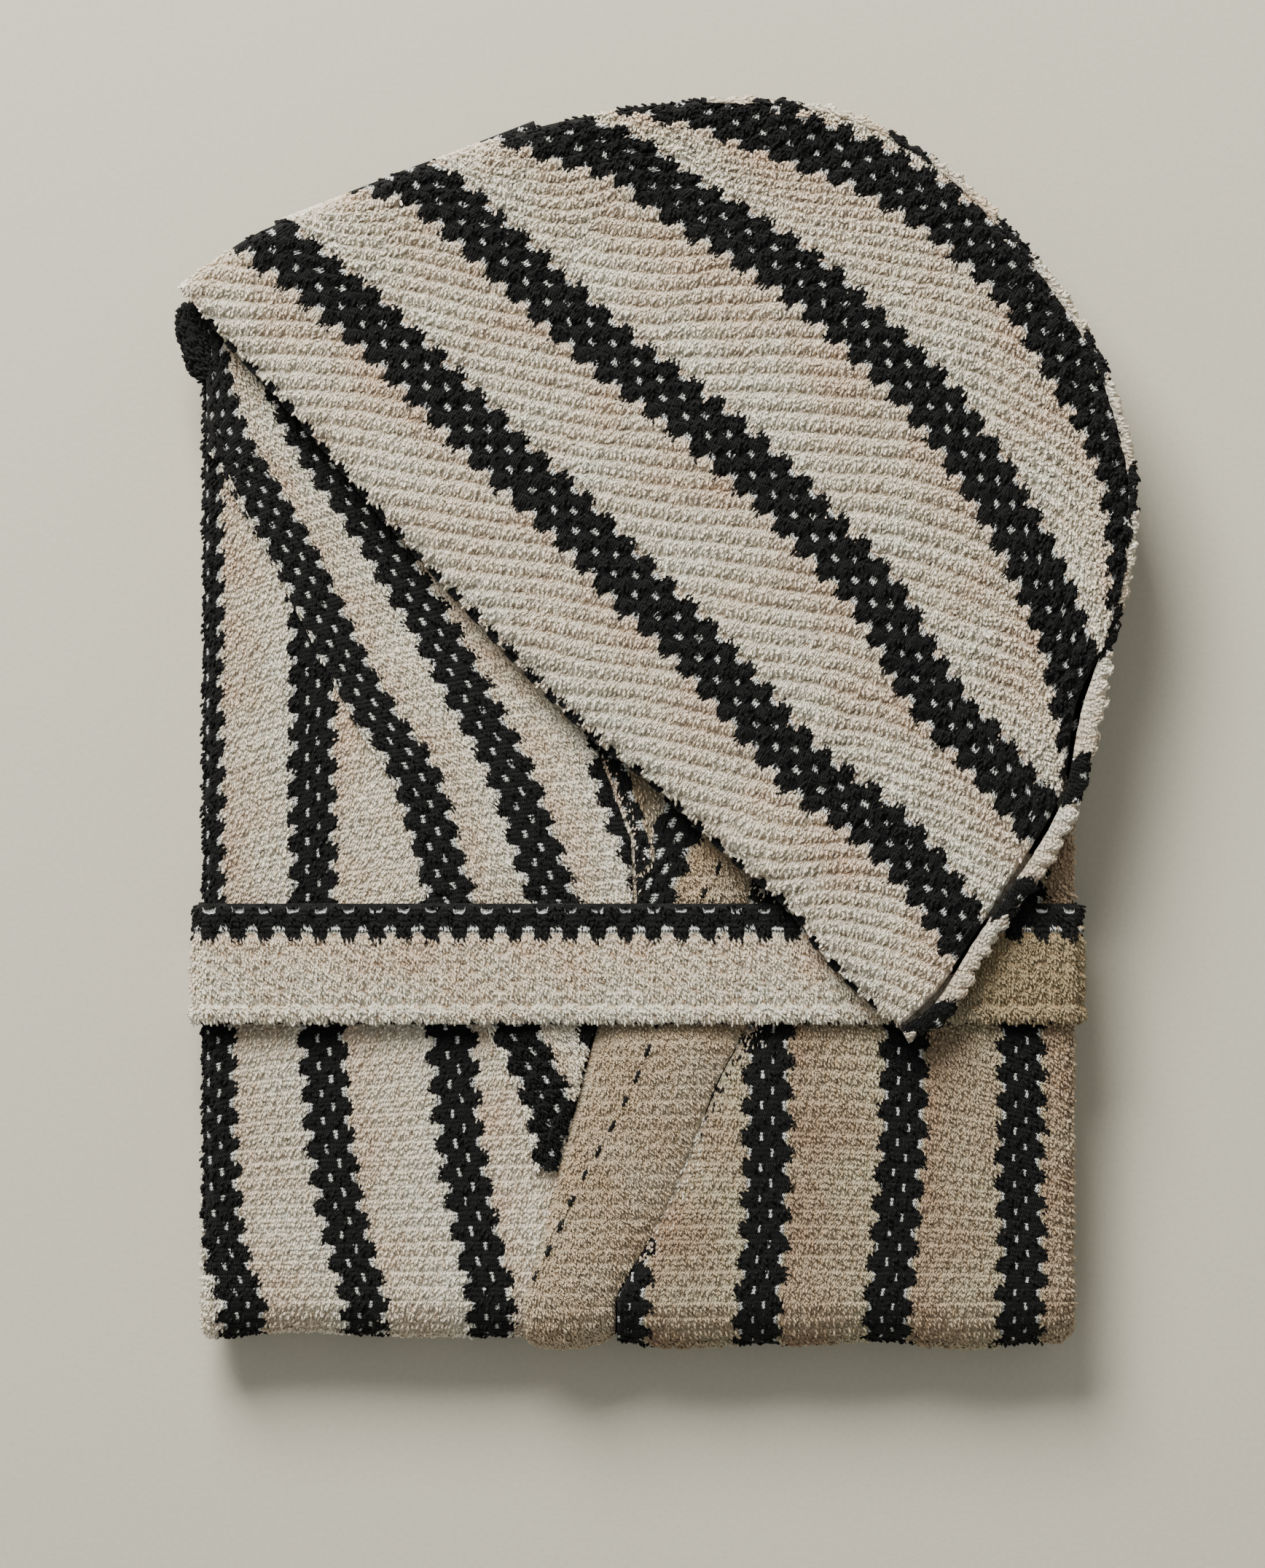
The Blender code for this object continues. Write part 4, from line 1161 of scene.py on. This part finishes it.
def woven(name, base, dark, across_mm, angle):
    """Close plain weave: a sine ridge each way, threads across_mm apart, drawn from the cloth's place."""
    material, tree, shader = new_material(name)
    place = add(tree, "ShaderNodeTexCoord", [], output=3)
    turned = add(tree, "ShaderNodeMapping", {"Vector": place, "Rotation": (0.0, 0.0, angle)})
    wave = "ShaderNodeTexWave"
    scale = 1 / (across_mm * MM) / 20 * math.pi
    warp = add(tree, wave, {"Vector": turned, "Scale": scale, "Distortion": 0.4}, output=1,
               bands_direction="X")
    weft = add(tree, wave, {"Vector": turned, "Scale": scale, "Distortion": 0.4}, output=1,
               bands_direction="Y")
    both = add(tree, MATH, [warp, weft], operation="MAXIMUM")
    colour = add(tree, MIX, {0: both, 6: linear(dark), 7: linear(base)}, **COLOUR)
    tree.links.new(colour, shader.inputs["Base Color"])
    bump = add(tree, "ShaderNodeBump", {"Height": both, "Strength": 0.5, "Distance": 0.0003})
    tree.links.new(bump, shader.inputs["Normal"])
    shader.inputs["Roughness"].default_value = 0.85
    shader.inputs["Specular IOR Level"].default_value = 0.25
    return material


tape_finish = woven("cotton_twill_tape", "#d9d2c0", "#b5aa93", 0.9, 0.35)
cord_finish = woven("braided_cotton_cord", "#e4e0d6", "#a9a292", 0.8, 0.8)
for node, finish in (("neck_tape", tape_finish), ("hanger_loop", cord_finish)):
    for material_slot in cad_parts[node].material_slots:
        material_slot.material = finish

# %% [markdown]
# ## The belt
# The belt is a strip of the same cloth cut along the stripe, so it has a black edge at the top and
# cream below. Its lower edge is a soft rolled hem. It goes right round the bundle: a rounded
# rectangle in section, carried across the width of the strip.

# %% Weave of the belt

BELT_ROW, BELT_WALL = 4.28, 2.8
BLACK_EDGE, CREAM_COLUMN = 10.0, 5.46     # width of the belt's black edge and of a cream column, mm


def belt_weave(across, at):
    """Black for the first BLACK_EDGE, in two columns, and then cream columns."""
    column = np.where(across < BLACK_EDGE, 2 + across / (BLACK_EDGE / 2),
                      4 + (across - BLACK_EDGE) / CREAM_COLUMN)
    return column + 0 * at, at / BELT_ROW + 0 * across


# %% Belt

width = BELT_UPPER - BELT_LOWER
path, normal, at = rounded_loop(BELT_EAST - BELT_WEST - BELT_WALL, BELT_HIGH - BELT_LOW - BELT_WALL, 5.0, 560)
at = at[None, :]
across_out = np.linspace(0, width, 45)[:, None]
across_in = np.linspace(width, 0, 13)[:, None]
column, row = belt_weave(across_out, at)
edge = np.minimum(across_out, width - across_out)
rounding = 1.6 * (1 - np.sqrt(1 - np.clip(1 - edge / 2.6, 0, 1) ** 2))
hem_roll = 1.0 * np.exp(-((across_out - width + 3.2) / 2.2) ** 2) - 0.7 * np.exp(
    -((across_out - width + 6.6) / 0.9) ** 2)
above = smoothstep(path[:, 1][None, :], -6, 4)
height = 0.75 * relief(column, row, 5) + hem_roll - rounding + 0.5 * np.sin(np.pi * across_out / width)
slim = 1.3 * smoothstep(np.abs(normal[:, 0])[None, :], 0.3, 0.95)
height = BELT_WALL / 2 + above * height - slim
x_mid, z_mid = (BELT_EAST + BELT_WEST) / 2, (BELT_HIGH + BELT_LOW) / 2
outer = np.stack([x_mid + path[:, 0] + height * normal[:, 0],
                  BELT_UPPER - across_out + 0 * at,
                  np.maximum(z_mid + path[:, 1] + height * normal[:, 1], 0.02)], axis=-1)
inner_offset = -BELT_WALL / 2
inner = np.stack([x_mid + path[:, 0] + inner_offset * normal[:, 0] + 0 * across_in,
                  BELT_UPPER - across_in + 0 * at,
                  z_mid + path[:, 1] + inner_offset * normal[:, 1] + 0 * across_in], axis=-1)
column_in, row_in = belt_weave(across_in, at)
weave = np.concatenate([np.stack([column, row], -1), np.stack([column_in, row_in], -1)])
belt = add_tube("belt_cloth", np.concatenate([outer, inner]), weave, belt_terry, UNDER_LOOPS)
start = int(np.argmin(path[:, 1]))
upward = np.roll(np.arange(len(path)), -start)
upward = upward[path[upward, 1] > -8]
belt_loops = dress(add_loops("belt_loops", outer[:, upward], np.stack([column, row], -1)[:, upward],
                             belt_terry, 5, BELT_WINDOW, (1.5, 0.95), (0.25, -0.95),
                             notch=BELT_NOTCH), "belt")
fit(belt, "belt", "belt")

# %% [markdown]
# ## The hood
# The folded hood is two halves of cloth that lie on each other, joined along the crown. The upper half
# is one soft sheet between four curves: the opening, the crown seam, the crown and the neck. It is
# rounded down at its rim, and its ribs run nearly level while the stripes cross it on the slant.

# %% Outline and stripes of the hood

OPENING = [(-144.8, 135.6), (-131.6, 121), (-105.5, 92.9), (-85.5, 69.8), (-60.3, 41.6), (-35.1, 14.6),
           (-15.1, -4.5), (0.9, -16.7), (26.6, -40.7), (38, -50.2), (46.6, -59), (53.6, -69.3),
           (67.3, -83.9), (76.1, -93.4)]
NECK = [(-144.8, 135.6), (-123.1, 150.5), (-101.7, 159.5), (-79.2, 169.7), (-56.7, 177.5), (-34.2, 184.3),
        (-7.2, 189.9), (17.5, 192.8)]
CROWN = [(17.5, 192.8), (37.8, 192.2), (58.1, 188.8), (76.1, 180.9), (94.1, 168.5), (112.1, 150.5),
         (125.6, 133.7), (136.8, 115.7), (143.6, 97.7), (148.1, 79.7), (148.7, 66.2)]
CROWN_SEAM = [(148.7, 66.2), (146.5, 48), (140.5, 26), (131.2, 6.5), (126.2, -21.8), (111.2, -46.8),
              (98, -67.5), (88, -82), (76.1, -93.4)]
HOOD_STRIPES = [
    [(-150, 176), (-128, 158.5), (-116.6, 149), (-100.8, 136.4), (-81, 119.3), (-59.9, 98.1), (-41.4, 79.7),
     (-21.6, 61.2), (-4.5, 42.8), (13.3, 25.4), (41.6, -7), (50.2, -15.8), (67.3, -27.9), (80.3, -40.7),
     (93.2, -58.1), (104, -76)],
    [(-105, 176), (-79, 170.5), (-67.7, 165.7), (-47.9, 148.3), (-28.1, 129.8), (-8.3, 112), (4.1, 103),
     (27, 84), (39.6, 72.2), (52.2, 59), (66.2, 44), (75.2, 31), (82.8, 16.5), (93.2, 2.3),
     (101.7, -6.3), (110.5, -16.7), (119, -27), (132, -44)],
    [(-56, 190), (-34.2, 184.3), (-28.1, 181.4), (-8.3, 175.5), (1.8, 167.9), (13.3, 159.8), (30.6, 149.4),
     (47.7, 137.5), (61.4, 125.5), (76.5, 111), (89.1, 97.5), (99.5, 83), (109.8, 66.5), (118.8, 49),
     (128, 27), (132, 6.5), (135, -14)],
    [(-10, 197), (10.8, 193), (16.7, 191.5), (42.1, 181.6), (66.2, 172.4), (82.1, 163.4), (100.6, 149.4),
     (116.6, 132.3), (128, 113.9), (139.5, 94.5), (146.5, 77.2), (149, 55.4), (149, 30)]]
HOOD_ROW, HOOD_STRIPE = 4.56, 8.6
LEVEL_POINTS = [(-4.5, 42.8), (31, 80), (66, 120), (98, 151)]    # one row of blocks crosses the stripes here

# %% Weave of the hood

opening_curve, neck_curve = smooth_curve(OPENING), smooth_curve(NECK)
crown_curve, seam_curve = smooth_curve(CROWN), smooth_curve(CROWN_SEAM)
stripe_curves = [smooth_curve(p) for p in HOOD_STRIPES]


def hood_underside(y):
    """Height of the hood's underside, which climbs evenly towards the belt."""
    return HOOD_BASE + HOOD_RISE * (HOOD_TOP_Y - y) / (HOOD_TOP_Y - BELT_UPPER)


def hood_weave(x, y):
    """Columns counted across the four stripes. Rows are square to them: a point's place along the
    stripe before it and along the stripe after it, mixed by how far it is from each."""
    distances, places = [], []
    for curve, level in zip(stripe_curves, LEVEL_POINTS):
        distance, place = nearest_on(x, y, curve)
        origin = nearest_on(np.array([level[0]]), np.array([level[1]]), curve)[1][0]
        distances.append(distance)
        places.append(place - origin)
    column = column_number(distances, HOOD_STRIPE, 5, 50.0)
    row = places[0]
    for k in range(3):
        share = np.clip(distances[k] / (distances[k] - distances[k + 1] + 1e-6), 0, 1)
        row = np.where(distances[k] > 0, places[k] * (1 - share) + places[k + 1] * share, row)
    row = np.where(distances[3] > 0, places[3], row)
    return column, (row + 0.5 * soft_noise(x, y, 80)) / HOOD_ROW


# %% Upper half of the hood

UPPER_STEP, LOWER_STEP = 1.35, 1.5     # spacing of the grids of the two halves, mm
long_count = SKIP * round(path_length(opening_curve) / UPPER_STEP / SKIP)
short_count = SKIP * round(path_length(neck_curve) / UPPER_STEP / SKIP)
flat_hood = four_sided_patch(even_points(opening_curve, long_count + 1),
                             even_points(crown_curve, long_count + 1),
                             even_points(neck_curve, short_count + 1),
                             even_points(seam_curve[::-1], short_count + 1))
edge_place = nearest_on(flat_hood[0, :, 0], flat_hood[0, :, 1], opening_curve)[1]
DASH, DASH_POINT = 8.6, (-36.0, 15.3)      # spacing of the seam's black stitches, and one of them
dash_start = nearest_on(np.array([DASH_POINT[0]]), np.array([DASH_POINT[1]]), opening_curve)[1][0]
tooth = -np.cos(2 * np.pi * (edge_place - dash_start) / DASH)
outward = unit(flat_hood[0] - flat_hood[4])
reach = np.exp(-np.arange(len(flat_hood)) / 2.4)[:, None] * (0.9 * tooth / np.sqrt(tooth ** 2 + 0.1) + 0.3)
flat_hood = flat_hood + outward[None] * reach[..., None]
x, y = flat_hood[..., 0], flat_hood[..., 1]
column, row = hood_weave(x, y)
from_opening = np.abs(side_distance(x, y, opening_curve))
from_outside = np.abs(side_distance(x, y, np.vstack([neck_curve, crown_curve[1:]])))
from_seam = np.abs(side_distance(x, y, seam_curve))


def rounded_down(distance, radius):
    """Quarter circle: how far a rim of that radius falls below its flat top."""
    inside = np.clip(1 - distance / radius, 0, 1)
    return radius * (1 - np.sqrt(1 - inside ** 2))


HOOD_PILE = 1.15
top = hood_underside(y) + 9.2
fall = rounded_down(from_opening, 4.6) + 0.95 * rounded_down(from_outside, 6.0)
fall = fall + 0.5 * rounded_down(from_seam, 3.4)
sag = 0.6 * soft_noise(x, y, 110) + 0.55 * soft_noise(x, y, 47) + 0.9 * np.exp(-(from_opening - 9) ** 2 / 60)
z = top - fall + sag + HOOD_PILE * relief(column, row, 5, 1.0, True)
outer = np.stack([x, y, z], axis=-1)
inner = np.stack([x, y, np.minimum(z, top - fall + sag - 0.4) - 2.0], axis=-1)
upper_half = add_cloth("hood_upper_cloth", outer, inner, np.stack([column, row], -1), hood_terry,
                       UNDER_LOOPS)
fit(upper_half, "hood", "hood_upper_half")
hood_loops = dress(add_loops("hood_loops", outer, np.stack([column, row], -1), hood_terry, 5,
                             HOOD_WINDOW, (1.65, 1.05), size=(2.2, 0.44)), "hood")

# %% Lower half of the hood

CROWN_LOWER = [(148.7, 66.2), (147, 48), (141.5, 22), (139.5, 6), (134.6, -15), (131, -27), (121, -46),
               (104, -69), (92, -90), (80, -96.7)]
lower_seam_curve = smooth_curve(CROWN_LOWER)
long_low = SKIP * round(path_length(opening_curve) / LOWER_STEP / SKIP)
short_low = SKIP * round(path_length(neck_curve) / LOWER_STEP / SKIP)
opening_low = smooth_curve(OPENING[:-1] + [(80, -96.7)])
flat_low = four_sided_patch(even_points(opening_low, long_low + 1), even_points(crown_curve, long_low + 1),
                            even_points(neck_curve, short_low + 1),
                            even_points(lower_seam_curve[::-1], short_low + 1))
x, y = flat_low[..., 0], flat_low[..., 1]
column, row = hood_weave(x, y)
rim = np.minimum(np.abs(side_distance(x, y, opening_low)),
                 np.abs(side_distance(x, y, np.vstack([neck_curve, crown_curve[1:], lower_seam_curve[1:]]))))
base = hood_underside(y) + 0.25 + 0.7 * rounded_down(rim, 3.0)
outer = np.stack([x, y, base - 0.25 * relief(column, row, 5)], axis=-1)
inner = np.stack([x, y, base + 2.2], axis=-1)
lower_half = add_cloth("hood_lower_cloth", outer, inner, np.stack([column, row], -1), hood_terry)
fit(lower_half, "hood", "hood_lower_half")

# %% Crown seam with the turned-up edge of the lower half

SEAM_STRIPES = 44.0      # spacing of black blocks past the last one placed, mm
SEAM_RINGS, ROLL_POINTS, BACK_POINTS = 420, 14, 3
inside_path = even_points(smooth_curve(CROWN + CROWN_SEAM[1:]), SEAM_RINGS)
outside_path = even_points(smooth_curve(CROWN + CROWN_LOWER[1:]), SEAM_RINGS)
angle = np.linspace(-0.5 * np.pi, 0.55 * np.pi, ROLL_POINTS)
middle = 0.5 * (inside_path + outside_path)
half_width = 0.5 * np.linalg.norm(outside_path - inside_path, axis=1) + 1.2
tangent = np.gradient(outside_path, axis=0)
outward = np.stack([-tangent[:, 1], tangent[:, 0]], axis=1)
outward *= np.sign((outward * (outside_path - np.array([0.0, 40.0]))).sum(axis=1))[:, None]
outward /= np.linalg.norm(outward, axis=1)[:, None]
along_seam = np.linspace(0, path_length(outside_path), SEAM_RINGS)
blocks = np.array([(142.3, 27.0), (131.5, -19.0), (111.0, -54.0), (86.0, -90.0)])
block_places = nearest_on(blocks[:, 0], blocks[:, 1], outside_path)[1]
column = column_number([(along_seam - place)[:, None] + 0 * angle for place in block_places], 8.0, 5,
                       SEAM_STRIPES)
row = (angle * 3.4)[None, :] / ROW + 0 * column
puff = 0.55 * relief(column, row, 5)
lumps = 0.9 * np.sin(2 * np.pi * along_seam / 7.1) * np.sin(2 * np.pi * along_seam / 17.3)
reach = (half_width + lumps)[:, None] * np.cos(angle) + puff * np.cos(angle)
low = hood_underside(middle[:, 1])[:, None]
height = low + 4.6 + (4.2 + puff) * np.sin(angle)
xy = middle[:, None, :] + outward[:, None, :] * (reach - 1.0)[..., None]
roll = np.dstack([xy, height])
back = np.linspace(1, 0, BACK_POINTS + 2)[:, None, None]
closing = (back * roll[:, -1] + (1 - back) * roll[:, 0]).transpose(1, 0, 2)[:, 1:-1]
closing[..., :2] -= 0.4 * outward[:, None, :]
ring = np.concatenate([roll, closing], axis=1)
uv = np.stack([column, row], -1)
uv = np.concatenate([uv, np.repeat(uv[:, -1:], BACK_POINTS, axis=1)], axis=1)
index = np.arange(ring.shape[0] * ring.shape[1]).reshape(ring.shape[:2])
index = np.hstack([index, index[:, :1]])
caps = [index[0, :-1][None, ::-1], index[-1, :-1][None, :]]
crown_roll = add_piece("crown_seam_roll", ring.reshape(-1, 3), [quads(index)] + caps, uv.reshape(-1, 2),
                       hood_terry, pile=UNDER_LOOPS)
fit(crown_roll, "hood", "crown_seam")
dress(add_loops("crown_seam_loops", roll, np.stack([column, row], -1), hood_terry, 5, HOOD_WINDOW,
                (1.25, 1.0), (0.85, 0.15), (2.4, 0.48)), "hood")

# %% Facings turned in at the opening


def beside(curve, width):
    """The curve moved to its left by width."""
    tangent = np.gradient(curve, axis=0)
    tangent /= np.linalg.norm(tangent, axis=1)[:, None]
    return curve + width * np.stack([-tangent[:, 1], tangent[:, 0]], axis=1)


FACING_POINTS, FACING_WIDTH, FACING_ROWS = 361, 28.0, 25
IN_BLACK, IN_CREAM = 1.4, 5.5     # columns of the weave that are all black and all cream
facing_path = even_points(opening_curve, FACING_POINTS)
run = np.linspace(0, path_length(opening_curve), FACING_POINTS)
direction = beside(facing_path, 1.0) - facing_path
block = np.cos(2 * np.pi * (run - dash_start) / DASH) > -0.1
ends = smoothstep(np.minimum(run, run[-1] - run), -6, 26)
widths = np.linspace(0, FACING_WIDTH, FACING_ROWS)[:, None]
for node, base_height, out in (("hood_lower_facing", 3.0, 1.2), ("hood_upper_facing", 5.0, 1.3)):
    offset = (widths - (out + 0.9 * block) * (1 - widths / FACING_WIDTH)) * ends
    xy = facing_path[None] + direction[None] * offset[..., None]
    x, y = xy[..., 0], xy[..., 1]
    column = np.where(block & (run > 9), IN_BLACK, IN_CREAM) + 0 * x
    row = run[None, :] / ROW + 0 * x
    base = hood_underside(y) + base_height
    outer = np.stack([x, y, base + 1.3 + 0.3 * relief(column, row, 5)], axis=-1)
    inner = np.stack([x, y, base + 0 * x], axis=-1)
    facing = add_cloth(node + "_cloth", outer, inner, np.stack([column, row], -1), collar_terry, NO_GROUND)
    fit(facing, "hood", node)

# %% Fold of cloth that joins the hood to the neck

HINGE, HINGE_Z = np.array([-79.0, 170.5]), 33.5
HINGE_ALONG, inward = np.array([0.933, 0.360]), np.array([0.360, -0.933])
FOLD_IN = 3.4            # how far in from the hinge the fold's middle lies, mm
fold_run = np.linspace(-40, 46, 69)[None, :]
fold_turn = np.radians(np.linspace(-80, 80, 13))[:, None]
fold_middle = HINGE + fold_run[..., None] * HINGE_ALONG + FOLD_IN * inward


def fold_surface(radius):
    """A half tube of that radius about the fold's middle, open towards the robe."""
    level = fold_middle - radius * np.cos(fold_turn)[..., None] * inward
    return np.dstack([level, HINGE_Z + radius * np.sin(fold_turn) + 0 * fold_run])


outer, inner = fold_surface(2.9), fold_surface(1.8)
column, row = hood_weave(outer[..., 0], outer[..., 1])
neck_fold = add_cloth("neck_fold_cloth", outer, inner, np.stack([column, row], -1), hood_terry)
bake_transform(neck_fold)

# %% [markdown]
# ## Floor, light and camera
# The bundle lies on a plain pale floor, lit by one large soft light from the upper left, with fill
# from all round so that the shadows stay open. The camera looks straight down through a long lens.

# %% Floor


def floor_finish():
    """Matt painted board: nearly even, with a very fine grain."""
    material, tree, shader = new_material("matt_painted_board")
    place = add(tree, "ShaderNodeTexCoord", [], output=3)
    grain = add(tree, NOISE, {"Vector": place, "Scale": 700.0, "Detail": 3.0})
    colour = add(tree, MIX, {0: grain, 6: linear("#bcb9aa"), 7: linear("#c9c7b8")}, **COLOUR)
    tree.links.new(colour, shader.inputs["Base Color"])
    bump = add(tree, "ShaderNodeBump", {"Height": grain, "Strength": 0.15, "Distance": 0.0004})
    tree.links.new(bump, shader.inputs["Normal"])
    shader.inputs["Roughness"].default_value = 0.9
    shader.inputs["Specular IOR Level"].default_value = 0.2
    return material


half_floor = 3000.0
corners = np.array([[-1, -1, 0], [1, -1, 0], [1, 1, 0], [-1, 1, 0]]) * half_floor
floor = add_piece("floor", corners, [np.array([[0, 1, 2, 3]])], corners[:, :2] / half_floor, floor_finish())

# %% Light and camera

world = bpy.data.worlds.new("soft_room")
bpy.context.scene.world = world
world.use_nodes = True
world.node_tree.nodes["Background"].inputs["Color"].default_value = linear("#f4f2ec")
world.node_tree.nodes["Background"].inputs["Strength"].default_value = 0.47


def area_light(name, place, target, size, power, colour):
    """A square soft light at place, aimed at target."""
    lamp = bpy.data.lights.new(name, "AREA")
    lamp.size, lamp.energy, lamp.color = size, power, linear(colour)[:3]
    obj = bpy.data.objects.new(name, lamp)
    bpy.context.scene.collection.objects.link(obj)
    direction = np.array(place) - np.array(target)
    obj.location = place
    obj.rotation_euler = (math.acos(direction[2] / np.linalg.norm(direction)), 0,
                          math.atan2(direction[1], direction[0]) + math.pi / 2)


area_light("key_window", (-0.55, 1.30, 1.25), (0, 0, 0), 0.95, 80.0, "#fffaf2")

CAMERA_HEIGHT, FRAME_HEIGHT = 2.6, 0.484
camera_data = bpy.data.cameras.new("camera")
camera_data.sensor_fit = "VERTICAL"
camera_data.sensor_height = 24.0
camera_data.lens = 24.0 * CAMERA_HEIGHT / FRAME_HEIGHT
camera_data.clip_end = 20.0
camera = bpy.data.objects.new("camera", camera_data)
camera.location = (-0.0054, -0.0183, 0.035 + CAMERA_HEIGHT)
bpy.context.scene.collection.objects.link(camera)
bpy.context.scene.camera = camera
